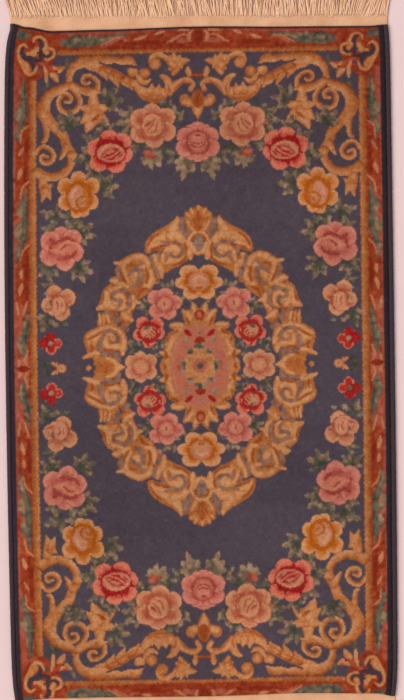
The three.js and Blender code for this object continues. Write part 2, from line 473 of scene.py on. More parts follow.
END_STROKES = (
    ("coral", 0.35, ((24, 0.97, 0.8), (50, 0.97, 1.2), (75, 0.95, 1.8), (105, 0.93, 2), (140, 0.92, 2.2))),
    ("rust", 0.08, ((0, 0.2, 2), (0, 0.5, 5.4), (0, 0.8, 2))),
    ("coral", 0.55, ((12, 0.3, 3), (19, 0.3, 3))),
    ("beige", 0.5, ((6.5, 0.9, 1), (9.5, 0.6, 1.9), (8, 0.25, 1.2))),
    ("beige", 0.4, ((11, 0.62, 0.8), (16, 0.66, 0.9), (22, 0.5, 1.2), (26, 0.32, 1.5), (31, 0.2, 0.6))),
    ("beige", 0.45, ((10, 0.95, 0.9), (15, 0.96, 1.2), (21, 0.9, 0.8))),
    ("rust", 0.1, ((33, 0.2, 1), (50, 0.2, 2.2), (74, 0.2, 1.2))),
    ("beige", 0.55, ((35, 0.92, 0.7), (40, 0.82, 1.4), (45, 0.7, 0.7))),
    ("beige", 0.55, ((53, 0.66, 0.8), (58, 0.54, 1.9), (65, 0.42, 0.8))),
    ("green", 0.8, ((70, 0.84, 0.7), (80, 0.76, 2), (92, 0.56, 3.4), (104, 0.42, 4.8), (116, 0.38, 5.4))),
    ("green", 0.8, ((114, 0.38, 5.2), (126, 0.36, 5.4), (136, 0.36, 4), (140, 0.36, 1))),
    ("green", 0.3, (
        (118, 0.5, 0.8), (121, 0.75, 1), (128, 0.75, 1.2), (132, 0.45, 1), (126, 0.16, 1),
        (119, 0.3, 0.8),
    )),
    ("straw", 0.45, ((122, 0.5, 2), (127, 0.48, 2.3))),
    ("straw", 0.4, ((104, 0.62, 1.6), (110, 0.68, 2.1))),
    ("sage", 0.7, ((88, 0.62, 1), (94, 0.56, 1.9), (100, 0.46, 1))),
    ("coral", 0.7, ((72, 0.36, 0.8), (79, 0.58, 1.7), (86, 0.4, 1.8), (93, 0.12, 1))),
    ("beige", 0.5, ((76, 0.62, 0.7), (84, 0.6, 1), (92, 0.36, 1), (98, 0.12, 0.6))),
)


def draw_border(chart):
    """Border, guard lines and the beaded gold stripe that frames the field."""
    x, y = chart.x, chart.y
    depth = GUARD - STRIPE[1]
    end_depth = END_GUARD - END_STRIPE[1]
    out = np.maximum((x - STRIPE[1]) / depth, (y - END_STRIPE[1]) / end_depth)
    border = out > 0
    chart.lay(border, "rust", (0.5 - 0.3 * np.abs(out - 0.55))[border])
    chart.strokes(SIDE_STROKES, lambda rows: rows[:, [1, 0, 2]] * (depth, 1, 1) + (STRIPE[1], 0, 0))
    chart.strokes(END_STROKES, lambda rows: rows * (1, end_depth, 1) + (0, END_STRIPE[1], 0))
    # Edges, places across and along, where the stripe stops, tone, and how much of it is gold at its middle
    stripes = ((STRIPE, x, y, 290, 0.62, 1.0), (END_STRIPE, y, x, 142, 0.42, 0.5))
    for edge, across, along, stop, tone, narrow in stripes:
        bead = np.cos(2 * np.pi * along / BEAD)
        share = (across - edge[0] + 0.35 * bead) / (edge[1] - edge[0])
        stripe = (share > 0) & (share < 1) & (along < stop)
        chart.lay(stripe, "rust", 0.3)
        stripe &= share < np.interp(along, (0.3 * stop, 0.8 * stop), (narrow, 0.5 + 0.5 * narrow))
        shade = tone + 0.12 * bead * (share < 0.4) - 0.75 * np.clip(share - 0.3, 0, 1)
        chart.lay(stripe, "gold", shade[stripe])
        chart.lay(stripe & (share < 0.14) & (bead > 0.4), "umber", 0.05)


def draw_guard(chart):
    """The dark line all round, next to the cords and the end bands."""
    chart.lay((chart.x > GUARD) | (chart.y > END_GUARD), "midnight", GUARD_TONE)


# Corner cartouche, in pixels from the photo's corner: grounds, fills, linings, outlines and sprig
CARTOUCHE_GROUNDS = (
    ((33, 37, 5), (42, 36, 5), (50, 39, 6), (52, 46, 6), (52, 53, 4)),
    ((15, 48, 6), (22, 45, 7), (30, 46, 9), (38, 50, 10), (44, 54, 8)),
    (
        (15, 54, 4), (16, 61, 5), (20, 67, 5), (25, 73, 4.6), (31, 78.5, 3.4), (37, 76.5, 3.2),
        (41, 70.5, 2.4),
    ),
    ((30, 60, 8), (40, 60, 6), (47, 61.5, 4.4), (51, 60.5, 2.6)),
)
CARTOUCHE_FILLS = (
    ((21, 62, 2), (24.5, 66.5, 3.4), (27.5, 70, 3)),
    ((28, 54.6, 1.6), (32, 54, 3), (36, 51.5, 3.2), (37, 47.6, 2)),
    ((45.5, 49, 2.4), (47, 51.5, 2.2)),
    ((46, 58.6, 1.6), (48.6, 58, 1.8)),
)
CARTOUCHE_LININGS = (
    (
        (24, 48.2, 1.3), (22.6, 51.5, 1.9), (22.4, 55.6, 2.2), (25.5, 58.8, 2.8), (31, 59.6, 2.8),
        (37, 60.4, 2.2),
    ),
    ((30.5, 61.5, 2), (32.4, 66, 2), (33, 69, 1.6), (31.4, 71.8, 1)),
    (
        (37.6, 39.4, 1.2), (40.6, 40, 2), (42.4, 43.4, 2.1), (41.2, 47.6, 1.8), (40.8, 53, 1.8),
        (40.4, 60, 1.5),
    ),
    (
        (38, 52.6, 1.2), (41, 53.4, 1.4), (44.6, 55.6, 1.4), (48.4, 55.8, 1.7), (51.4, 53, 1.8),
        (51.6, 50.8, 1),
    ),
)
CARTOUCHE_OUTLINES = (
    (
        (27.4, 48.4, 0.8), (24.2, 46, 1.2), (20.6, 47.2, 1.3), (18.4, 51, 1.5), (18, 56.4, 1.6),
        (19.6, 61.6, 1.7),
    ),
    (
        (19.6, 61.6, 1.7), (22.6, 68.4, 1.6), (25, 73.4, 1.6), (29, 75.6, 1.7), (33.2, 73.4, 1.5),
        (36.4, 68, 1.1),
    ),
    (
        (33.6, 42, 0.9), (34.2, 38.6, 1.3), (37, 36.4, 1.3), (41, 36, 1.3), (44.6, 38.4, 1.5),
        (46, 42.4, 1.6),
    ),
    ((46, 42.4, 1.6), (46.2, 45.6, 1.5), (44.2, 47.8, 1.4)),
    ((48.4, 46.4, 0.9), (52, 47.4, 1.3), (54.6, 50.6, 1.5), (54, 55, 1.5), (51, 57.8, 1.3)),
)
CARTOUCHE_SPRIG = (
    ((44.4, 67, 1.3), (45.3, 72, 1.8), (45.2, 78, 1.7), (44.8, 83, 0.8)),
    ((50.5, 75, 1.6), (53.6, 77, 3), (56, 81.6, 1.2)),
    ((51.4, 67, 1.3), (55, 69.4, 1.8), (58.6, 71.2, 1.8), (62, 69, 1.4), (64.4, 66.6, 0.7)),
)
# Single limbs of the corner: ramp, tone, how much the rims darken, and rows
CARTOUCHE_GREENS = (
    ("sage", 0.4, 0.66, ((16, 36.8, 2.4), (21, 37, 4.6), (26.4, 37, 3.4))),
    ("green", 0.35, -0.3, ((20, 36, 1.8), (24, 36.8, 2.8), (27, 38, 1.6))),
)
CARTOUCHE_TOUCHES = (
    ("rust", 0.4, 0, ((26.4, 49.8, 1.2), (29, 51.2, 1.6), (31.4, 48.6, 1.4))),
    ("rust", 0.7, 0, ((36, 41, 1.2), (37.2, 45.4, 1.4))),
    ("coral", 0.5, 0.66, ((39.6, 63.2, 1.4), (44.6, 64, 2.4), (48.4, 63.6, 1.4))),
    ("rust", 0.75, 0.66, ((46, 64, 2.4), (49, 68.6, 4), (52.8, 73, 3.6))),
    ("rust", 0.6, 0.66, ((47, 66, 2.6), (53, 69.4, 4), (58.6, 69.6, 2.6))),
    ("coral", 0.7, 0.66, ((53.6, 67, 1.4), (57.6, 68.4, 2), (61, 67, 1.2))),
)
SPRIG_TOUCHES = (
    ("rust", 0.75, 0.3, ((46.4, 65, 1.6), (49.6, 68.6, 3.0), (52.2, 72, 1.2))),
    ("rust", 0.2, 0.66, ((53.4, 70.8, 0.8), (56, 71.6, 1.1))),
    ("sage", 0.35, 0.66, ((67.4, 58.4, 1.2), (66.6, 63, 2.4), (66, 69, 1.2))),
    ("green", 0.7, 0.66, ((46.4, 84, 1), (45.4, 88, 2.4), (42, 92, 1.4))),
)
# How far the cartouche is shifted at one row of pixels, and how much more with each row further out
CARTOUCHE_ROW = 75
CARTOUCHE_SHIFT = np.array([0.8, -0.4, 0])
CARTOUCHE_SLOPE = np.array([0.097, -0.053, 0])


def near_corner(rows):
    """Takes rows of the cartouche to the chart, set further out and lower the nearer the corner."""
    further = CARTOUCHE_ROW - np.array(rows, float)[:, 1:2]
    return from_corner(rows) + (CARTOUCHE_SHIFT + CARTOUCHE_SLOPE * further)


def draw_corner_cartouche(chart):
    """Midnight trefoil in gold outlines on rust, with a green patch beyond it and a sprig below."""
    chart.limbs("rust", CARTOUCHE_GROUNDS, near_corner, tone=0.3, edge=-0.15)
    chart.touches(CARTOUCHE_GREENS, near_corner)
    chart.limbs("gold", CARTOUCHE_FILLS, near_corner, grow=0.5, tone=0.78, edge=0.4)
    chart.limbs("midnight", CARTOUCHE_LININGS, near_corner, tone=0.85, edge=0.2)
    chart.limbs("gold", CARTOUCHE_OUTLINES, near_corner, grow=0.25, tone=0.86, edge=0.5)
    chart.touches(CARTOUCHE_TOUCHES, near_corner)
    chart.limbs("gold", CARTOUCHE_SPRIG, near_corner, grow=0.5, tone=0.86, edge=0.4)
    chart.touches(SPRIG_TOUCHES, near_corner)


# Gold scrollwork of one corner: lines, each as rows of x, y and half width
CORNER_LIMBS = (
    ((118, 303, 3), (110, 299, 4.4), (97, 295.4, 4.2), (87, 291, 3.9), (77, 286, 3.8), (68, 283, 4)),
    ((99, 294.6, 4.4), (94, 285, 0.6)),
    ((88, 290, 5), (82, 277.4, 0.6)),
    ((76, 285, 5), (68, 275.6, 0.7)),
    (
        (133, 280, 3.2), (132, 290, 3.5), (127.5, 298.5, 4.6), (119, 303.5, 6), (107, 304, 6.4),
        (95, 305.5, 4.4), (81, 304.5, 4), (73, 305.5, 4.4), (65, 300, 0.8),
    ),
    ((154.6, 247, 4.6), (154.2, 234, 3), (155.5, 225, 2.4), (159, 223.5, 1)),
    (
        (131, 280, 3.4), (141.5, 276, 4.4), (150, 271.5, 5), (156, 264, 6), (158, 256, 6.6),
        (154.5, 247, 6.2), (147.5, 239.5, 5), (138, 230.5, 5), (134, 220, 4.6), (129, 211, 4.6),
        (129, 202.5, 4), (135, 193.7, 4.2), (143.6, 189, 4.4), (154.5, 189.3, 4.6), (164, 193.5, 5),
    ),
    ((129, 211, 4), (123, 211, 0.6)),
    ((135, 219, 3), (137, 212, 2.8), (140.5, 206, 1)),
)
CORNER_CURLS = (
    (
        (131, 277, 2.6), (124, 270.7, 2.7), (121, 263, 2.8), (125, 255.5, 2.8), (133, 252.2, 2.7),
        (140.4, 256.6, 2.6), (141.5, 265.3, 2.6), (137, 270.7, 2.4), (131, 268.5, 2.4),
        (131.5, 263.6, 2.1), (136, 263.2, 1.3),
    ),
    (
        (164, 211, 2), (160, 217.5, 2.2), (153.4, 217.5, 2.4), (147.4, 212, 2.4), (148, 205.6, 2.6),
        (153.4, 202.4, 2.6), (158.8, 204.5, 2.4), (157.7, 209, 2.2), (152.5, 207.8, 1.3),
    ),
)
CORNER_BACK_CURLS = (
    (
        (127, 280, 2.6), (120, 275.5, 3.4), (112, 273.8, 4.6), (104.6, 275, 3.6), (103.5, 282.6, 2.5),
        (109, 288, 2.3), (115.4, 289, 2.4), (118.7, 284.8, 2.3), (115.4, 281.5, 2.2), (111.6, 283.2, 1.4),
    ),
    ((106, 274.5, 2.8), (99.5, 272.5, 0.5)),
)
CORNER_STAR = (
    ((107.8, 268, 4.4), (107, 258, 6.5), (106, 249, 8.5)),
    ((106, 254, 6.6), (97, 257.4, 4), (88.5, 259.5, 0.6)),
    ((104, 250, 7), (97, 245, 4), (91.6, 240.6, 0.8)),
    ((108, 248, 8), (112, 239, 4.4), (114, 233.4, 1.2)),
    ((110, 250, 7), (119.8, 242, 1)),
    ((112, 256, 5), (119.5, 257.5, 2)),
)
STAR_VEIN = ((102, 250, 0.8), (105, 247, 1.8), (108, 245, 0.8))
CORNER_SPRIG = (
    ((158, 185, 3.4), (155.6, 177.4, 5.4), (153, 172, 4)),
    ((154, 178, 4.4), (148, 181, 0.7)),
    ((153, 174, 4.4), (149.6, 166, 0.8)),
    ((156, 174, 4.4), (158.3, 164, 0.8)),
)
CORNER_SLIT = (
    (102, 302.5, 0.8), (94, 300, 1.3), (87, 301.2, 1), (80.5, 299, 1.4), (73, 299, 1.5), (65, 298, 1.5),
)
CORNER_FOLDS = (
    ((104, 297.6, 0.6), (95, 293, 1), (84, 287.6, 1), (74, 281.6, 0.6)),
    ((100, 300.6, 0.5), (92, 297.4, 0.8), (82, 293, 0.8), (73, 288, 0.5)),
)


def draw_corner_scrolls(chart):
    """Acanthus scrolls that fill each corner of the field, with the star leaf and the sprig."""
    chart.limbs("gold", CORNER_STAR, edge=0.45)
    chart.limbs("umber", (STAR_VEIN,), tone=0.6)
    chart.limbs("gold", CORNER_LIMBS, tone=0.64, light=0.48, edge=0.22)
    chart.knob("gold", 68.3, 293.5, 5.4, 0.9)
    chart.limbs("field", (CORNER_SLIT,), tone=0.3, edge=0)
    chart.limbs("umber", CORNER_FOLDS, tone=0.6, edge=-0.3)
    chart.limbs("gold", CORNER_CURLS, tone=0.62, flank=-0.46, edge=0.2)
    chart.limbs("gold", CORNER_BACK_CURLS, tone=0.62, flank=0.46, edge=0.2)
    chart.limbs("gold", CORNER_SPRIG, tone=0.7, light=0.25, edge=0.2)


# The swag at the middle of each end: rows of x, y and half width, and knobs as x, y, size and tone
SWAG_LIMBS = (
    (
        (65.5, 283.5, 1), (62.6, 277, 3.6), (56.3, 271.8, 5.6), (49, 269.5, 6.6), (42, 269.5, 6.4),
        (36, 273, 4.4),
    ),
    ((49.5, 273, 5), (48.3, 281, 0.7)),
    ((43, 273, 5), (41.4, 280, 0.7)),
    ((40.8, 289.3, 0.8), (35.4, 287, 3), (31.7, 281, 4.2), (32.5, 274.4, 3.8), (35, 269.5, 2)),
    (
        (31, 272.5, 3.4), (25.5, 279.6, 3.8), (18, 284.6, 2.6), (12, 284.8, 2.5), (7.2, 280.8, 2.3),
        (9.8, 276, 2.7),
    ),
    ((63.8, 289.5, 1.6), (60, 284.2, 2.8), (55.6, 282.2, 2.6), (50, 285.6, 0.7)),
    ((51, 303, 2), (48.6, 308.6, 2.6), (42, 310.2, 2.8), (35.6, 307.2, 2.6), (30, 303, 4)),
    ((31, 307, 3), (26.6, 303, 5), (24, 298.6, 4.4), (26.6, 292, 2.4), (27.6, 290, 0.8)),
    ((26, 306, 3.6), (27.6, 311, 1)),
    ((22.6, 304, 3.6), (20.4, 309.4, 0.8)),
    ((22, 302, 4), (16, 304, 3), (11.4, 304.4, 0.7)),
    ((27, 299, 4.6), (31, 295.6, 1.2)),
    ((21.4, 300, 3), (18, 297, 0.8)),
    ((12.2, 297.5, 1.2), (12.4, 294, 2.9), (11.4, 289.5, 2.2)),
)
SWAG_FOLDS = (
    ((60, 270.6, 1), (50, 265, 2.4), (42, 264.8, 2.5), (35, 268, 1.2)),
    ((33, 281, 0.5), (31, 277, 0.8), (31.4, 272, 0.7)),
    ((27, 275, 0.6), (20, 281.6, 1), (13, 282.4, 0.7)),
)
SWAG_BAR = ((12, 290.2, 1.8), (-3, 290.2, 1.8))
SWAG_VEIN = ((31, 300, 1), (29.5, 297, 1.6), (28.5, 293.5, 1))
SWAG_KNOBS = ((56.3, 291.8, 5.6, 0.72), (46, 301.3, 6, 0.76), (15.5, 265.4, 5.4, 0.9))
SWAG_DROP = (
    ((15, 264, 5), (8, 262, 4), (2.6, 262, 5)),
    ((2.6, 270, 5.4), (2.6, 260, 6.4), (2.6, 254, 4.4), (2.6, 247, 0.8)),
)
DROP_SHADE = ((2.6, 273, 3), (2.6, 268.4, 6), (2.6, 263.4, 5.6), (2.6, 258, 1))


def draw_end_swag(chart):
    """Leafy swag hung from the stripe at the middle of each end, with its knobs and drop."""
    chart.limbs("umber", (SWAG_BAR,), tone=0.6)
    chart.limbs("gold", SWAG_LIMBS, tone=0.78, light=-0.22, edge=0.3)
    chart.limbs("umber", SWAG_FOLDS, tone=0.7, edge=-0.1)
    chart.limbs("umber", (SWAG_VEIN,), tone=0.8, edge=0)
    for x, y, size, tone in SWAG_KNOBS:
        chart.knob("gold", x, y, size, tone)
    chart.limbs("gold", SWAG_DROP)
    chart.limbs("umber", (DROP_SHADE,), tone=0.35, edge=-0.4)


# The wreath round the medallion, in pixels from the photo's corner: gold bodies, the lights and
# shades on them, and lilac grooves
WREATH_BODIES = (
    (
        (148, 251, 3.5), (151, 244, 5), (158, 239, 7), (166, 234, 7), (172, 229, 5.5), (176, 222, 2.5),
        (177.5, 217.5, 0.8),
    ),
    ((172, 238, 8), (180, 240, 6), (187, 246, 5.5), (189, 253, 4.6), (190.5, 260, 0.8)),
    ((175, 250, 10), (172, 258, 10), (166, 264, 8), (162, 272, 3.6), (162, 278, 0.8)),
    ((182, 255, 8), (177, 261, 6)),
    ((155.4, 256, 2.4), (158, 262, 4), (163, 267, 5)),
    ((199, 225, 11), (199, 217, 10), (198.6, 211, 4.4), (198, 206, 0.8)),
    ((194, 224, 8), (190, 217, 5), (186.4, 213.8, 1.2)),
    ((195, 217, 7), (192.2, 212.4, 3.2), (190.6, 208.6, 0.8)),
    ((192, 227, 6), (187, 221.4, 1.4)),
    (
        (115, 263, 0.8), (121, 264, 2.6), (128, 262, 5), (136, 260, 6.5), (143, 262, 7), (147, 270, 6),
        (149, 279, 6.5),
    ),
    ((149, 279, 6.5), (146, 287, 6.6), (140, 294, 4.5), (138, 299.5, 0.8)),
    ((151, 280, 4), (157.5, 284, 0.8)),
    ((134, 275, 10), (132, 282, 8)),
    ((123, 268, 3.5), (123, 276, 4), (127, 283, 5), (133, 289, 5)),
    ((110.6, 281.4, 1), (115, 281, 4), (121, 284, 5), (127, 287, 4)),
    ((111, 287, 2.5), (108, 293, 5), (106, 301, 5.2), (102, 307, 3.8), (96.6, 309, 0.8)),
    (
        (118, 292, 6), (124, 293, 6), (130, 298, 5.5), (131, 305, 5), (128, 311, 5), (126, 318, 6),
        (127, 322, 4),
    ),
    ((118, 300, 10), (115, 306, 7), (108, 307, 5)),
    ((133, 300, 4), (140.5, 303, 0.8)),
    ((127, 319, 5), (133, 320.5, 0.8)),
    ((100.4, 324, 3.4), (104.6, 321, 6), (110, 320, 6), (114, 325, 4)),
    ((101.4, 321, 3.2), (99.4, 314.2, 1)),
    ((104.6, 319, 3), (103.2, 313.8, 1)),
    ((108.4, 318, 3.6), (106.8, 312.8, 1)),
    (
        (86, 341, 2.4), (90, 337, 5), (97, 333, 5.2), (105, 331, 5), (113, 331, 5.2), (120, 334, 5.2),
        (123.4, 341, 4),
    ),
    ((123.4, 341, 4), (123.6, 348, 3.6), (123, 355.4, 0.8)),
    ((91, 344, 6), (99, 342, 8), (108, 341, 10), (116, 343, 8)),
    ((90.6, 348, 4.4), (92, 353, 4)),
    ((83.4, 358.4, 0.8), (88, 356.6, 2.4), (93, 354, 4), (98, 357, 5), (102, 364, 7), (101, 370, 7)),
    ((104, 363, 7), (111, 364, 7), (118, 367, 4), (124.4, 367.6, 0.8)),
)
WREATH_LIGHTS = (
    (
        (149, 250, 1.4), (152, 244, 2.4), (158, 240, 3), (166, 236, 4.4), (172, 231.5, 4.2),
        (176, 225, 2.8), (177.5, 218.5, 0.8),
    ),
    ((152.4, 246, 1.4), (157, 243.4, 2.4), (163, 243, 1.2)),
    ((170, 236, 4), (178, 236.6, 4.2), (183, 240, 2.8), (180.6, 243, 1.4)),
    ((188, 243.6, 1.6), (190.6, 248, 2.6), (190, 254, 3), (190.5, 259.6, 0.8)),
    ((171, 250, 3), (175, 248.4, 3.8), (178, 251, 3.2), (176, 254, 2.2)),
    ((169, 248.4, 1), (165.5, 251, 1.2), (163.2, 256, 1.5), (162.6, 261, 1.4)),
    ((154.6, 256, 1.3), (156, 262, 2), (160, 267, 2.6), (162, 273, 1.8), (162, 277.6, 0.7)),
    ((167, 262.4, 2), (172, 260.8, 2.6), (178, 260.6, 2), (183, 258, 1.4)),
    ((186.8, 214.4, 0.3), (189.6, 216.2, 0.5)),
    ((190.8, 209.6, 0.3), (192.8, 213, 0.5)),
    ((198, 207, 0.3), (198.4, 211, 0.8)),
    ((187.6, 221.8, 0.3), (189.6, 225.6, 0.6), (192.6, 230, 0.8)),
    ((188, 241.6, 1.2), (191, 237.4, 1.6), (195, 233, 1.8), (199, 231.4, 1.8)),
    ((190.8, 243.6, 1.2), (192.6, 248.6, 2), (195.6, 252.4, 1.9), (199, 253.4, 1.6)),
    (
        (115.4, 263.2, 0.7), (122, 264, 1.3), (128, 261, 2), (134, 258, 2.4), (140, 257.4, 2.6),
        (146, 260.4, 2.2), (148.6, 266, 1.5),
    ),
    ((124, 265.4, 1.5), (123.8, 271, 1.8), (126, 277, 1.8), (128.5, 282, 1.6)),
    ((131, 276.4, 2), (134, 276.6, 2.6), (136.4, 274, 1.8)),
    ((139.6, 267.6, 1.2), (142, 266.6, 1.6), (144.6, 268, 1)),
    ((151, 272, 1.2), (152.4, 278, 2), (149.6, 284, 2.6), (145, 286.4, 1.8)),
    ((111.4, 281.4, 0.9), (115.5, 281, 2.4), (121, 284.2, 2.2), (127, 286.5, 1.6)),
    ((110.5, 290.4, 1.5), (116, 289, 1.8), (121, 287, 1.4)),
    ((107, 293, 1.8), (106.6, 300, 2.6), (105, 306, 3), (97.6, 309, 1)),
    ((109, 297, 2), (110, 304, 2.4), (113, 308, 1.8)),
    (
        (115, 297.3, 1), (119, 295.8, 1.4), (123, 296.8, 1.6), (125.2, 301, 1.6), (124, 306, 1.5),
        (120.6, 310, 1),
    ),
    ((113, 302, 1), (117, 303.6, 1.4), (118.4, 306, 1)),
    ((133.4, 297, 1.3), (134.2, 302, 1.6), (132.8, 307, 1.6), (128.6, 311.4, 1.2)),
    ((136, 302, 1.6), (140, 303, 0.7)),
    ((123, 314, 1.6), (126, 317, 2.2), (132, 320.5, 1.2)),
    ((99.6, 315, 0.2), (100.2, 319, 0.5), (100.6, 324, 0.6)),
    ((103.8, 316, 0.2), (104.4, 323, 0.4)),
    ((107, 315, 0.4), (108.4, 319, 1), (109.4, 322, 0.5)),
    (
        (87, 337.4, 1.2), (92, 334, 1.6), (98, 330.8, 1.8), (105, 328.2, 1.8), (111, 327.6, 1.8),
        (116, 330, 1.2),
    ),
    ((120, 332, 1.3), (123.4, 337, 1.5), (124.5, 344, 2.1), (122.6, 350, 2), (123, 354.8, 0.8)),
    ((90.6, 342, 2.2), (96, 339.2, 2.2), (101, 335.6, 1.5)),
    ((106, 336, 1.2), (105.8, 341, 1.8), (107, 346, 2), (112, 347.6, 2.6), (118, 346, 2.4)),
    ((107, 334.8, 1.1), (112, 335, 1.3), (115.4, 337.4, 1)),
    ((112.2, 338.6, 1.5), (114.4, 339.6, 1.2)),
    ((84, 358, 0.8), (89, 355.6, 1.6), (93, 353.2, 2), (98, 353.4, 1.6)),
    ((107, 358.8, 1.4), (112, 361, 2.4), (118, 366, 2), (123.6, 367.6, 0.7)),
    ((109, 365, 2.2), (109, 372, 2.4)),
)
WREATH_SHADES = (
    ((147.4, 247, 1.2), (149.6, 242.6, 1.5), (153, 238, 1.4), (158, 234.4, 1)),
    ((151, 251.4, 1.1), (154, 249.6, 2), (159, 248, 1.5), (165, 246.8, 0.8)),
    ((185, 244.4, 1), (186.2, 249, 1.5), (186, 254, 1)),
    ((172, 266, 0.8), (178, 264.4, 1.6), (184, 261, 1.6), (186.4, 257, 0.8)),
    ((199, 214, 3), (198.7, 221, 5.4), (198.7, 228, 4)),
    ((193.6, 219, 1), (195.6, 224, 1.6), (196.4, 229, 1.2)),
    ((191.4, 241.4, 0.8), (194.4, 237, 1.7), (199, 235.2, 1.9)),
    ((146.4, 269, 1), (148, 276, 1.7), (147, 283, 1.2)),
    ((147, 289, 1), (142, 291, 2.2), (138.6, 296, 1.8), (138, 299, 0.6)),
    ((120.4, 269, 0.8), (121.5, 274, 1.4), (123.4, 279, 1.6), (126.4, 283.4, 1)),
    ((128, 265.6, 1), (132, 265.6, 1.5), (135.6, 265, 0.8)),
    ((126.8, 296, 0.8), (127.8, 300.5, 1.3), (127, 305, 1)),
    ((104, 295, 0.8), (102.6, 301, 1.3), (100.6, 304.4, 0.8)),
    ((122, 321, 1), (124, 324, 1.5), (121.4, 327, 1)),
    ((112, 311, 0.8), (115, 312.6, 1.5), (118, 311, 0.7)),
    ((102, 320.6, 0.4), (102, 324.6, 0.6)),
    ((106.6, 321, 0.4), (106.6, 325, 0.7)),
    ((88.8, 340, 0.7), (92, 338, 1.1), (96.5, 335.8, 1.2), (101, 332.5, 1.2), (105, 331, 0.7)),
    ((91, 345, 0.8), (92, 348, 2), (91.5, 351.6, 1.6)),
    ((104, 349.6, 1), (109, 350.2, 1.5), (114, 350.6, 1)),
    ((98, 361, 1.4), (99, 366, 2.6), (102.6, 370, 3)),
)
WREATH_GROOVES = (
    (
        (161.5, 242.6, 0.7), (166, 243, 1.1), (171, 243.4, 1.4), (177, 243.8, 1.5), (181.5, 246.5, 1.7),
        (183, 250.6, 1.8),
    ),
    ((183, 250.6, 1.8), (181, 255, 1.8), (177, 257.4, 1.4), (172.5, 256.4, 1.3), (169.4, 253.8, 1.2)),
    ((168.6, 255.4, 1.2), (167, 259, 1.2), (166.5, 262.5, 0.8)),
    ((164, 249, 0.8), (161, 252, 1.6), (159.5, 256, 1.4), (159.8, 259.5, 0.7)),
    ((151.6, 257, 1), (152.3, 262, 1.5), (153, 268, 1.2)),
    ((157, 270, 1), (158, 276, 1.6), (157.5, 282, 1.2)),
    (
        (128.3, 276, 1), (130.5, 273.2, 1.6), (134.5, 270.5, 1.8), (138, 270.5, 2.1), (141, 274, 2.2),
        (141, 279, 2.2),
    ),
    ((141, 279, 2.2), (138, 283.3, 2), (134, 286, 1.5), (131.4, 287.6, 0.8)),
    ((136, 268.5, 1.4), (138.3, 265.2, 1.4), (142, 263.6, 1.2), (144, 263.8, 0.6)),
    ((119, 267, 1), (118.4, 271, 2), (119.4, 276, 1.8), (120.4, 280.4, 1)),
    (
        (111.8, 300, 0.9), (111.6, 296.5, 1.5), (114, 293.5, 1.6), (118, 291.7, 1.7), (122.5, 290.4, 1.9),
        (127, 292.5, 2),
    ),
    ((127, 292.5, 2), (129.6, 297.5, 1.9), (130, 303, 1.8), (128, 308, 1.6), (124.6, 311, 1)),
    (
        (112, 298.6, 1.3), (115.5, 300.6, 1.5), (119, 300.5, 1.6), (120.8, 303, 1.6), (119.8, 306.5, 1.4),
        (117, 309, 0.9),
    ),
    ((107, 312.6, 1.4), (111, 313.2, 2)),
    ((115, 314.4, 1.8), (116.5, 319, 2.5), (116.5, 323, 1.3)),
    ((122, 327.6, 1.6), (125, 327.4, 2.6), (127, 329.4, 1.5)),
    (
        (104, 331.8, 1.1), (109, 331, 1.6), (114, 332.2, 1.8), (117.6, 335.8, 1.8), (118.6, 340, 1.8),
        (116, 343, 1.5),
    ),
    ((116, 343, 1.5), (112, 343, 1.2), (109.8, 341.2, 0.9)),
    (
        (105, 333.6, 1), (102.4, 337, 1.6), (101, 341, 1.8), (99.5, 345, 2.1), (99, 348.6, 2.2),
        (102.4, 350.2, 1.1),
    ),
    ((101, 356.2, 1.1), (105.5, 355, 1.8), (110, 354.8, 1.7), (112, 352.8, 1)),
    ((114.6, 353, 1.5), (117.4, 356, 2.4), (118.4, 360, 1.6)),
    ((182.4, 220.6, 2), (182.8, 227, 3.8), (185.4, 233.4, 3.2), (187.2, 239, 1)),
)
# Shade of the side palmettes, as rows of x, y and half width
PALMETTE_SHADE = (((103, 0, 4), (97, 0, 7), (91, 0, 5), (86, 0, 1.5)),)


def draw_wreath(chart):
    """Wreath of acanthus units round the medallion, with the palmette at each end and side. Each is
    drawn as a plain body, then its lights, its shades, and its grooves with a brown rim."""
    chart.limbs("lilac", WREATH_GROOVES, from_corner, grow=1.2, tone=0.3, edge=0)
    chart.limbs("gold", WREATH_BODIES, from_corner, tone=0.58, edge=0.2)
    chart.limbs("gold", WREATH_LIGHTS, from_corner, grow=0.8, tone=0.94, edge=0.38)
    chart.limbs("umber", WREATH_SHADES, from_corner, grow=0.3, tone=0.5, edge=-0.45)
    chart.oval("lilac", 0, 122.4, 4.8, 8.6, 0.45, edge=-0.2)
    chart.limbs("umber", WREATH_GROOVES, from_corner, grow=0.35, tone=0.8, edge=0)
    chart.limbs("lilac", WREATH_GROOVES, from_corner, grow=-0.15, tone=0.62, edge=0.4)
    chart.limbs("umber", PALMETTE_SHADE, tone=0.75, edge=-0.3)
    chart.oval("field", 111.5, 0, 7.4, 5.8, 0.4)
    chart.oval("gold", 111.3, 0, 2.9, 2.7, 0.62)


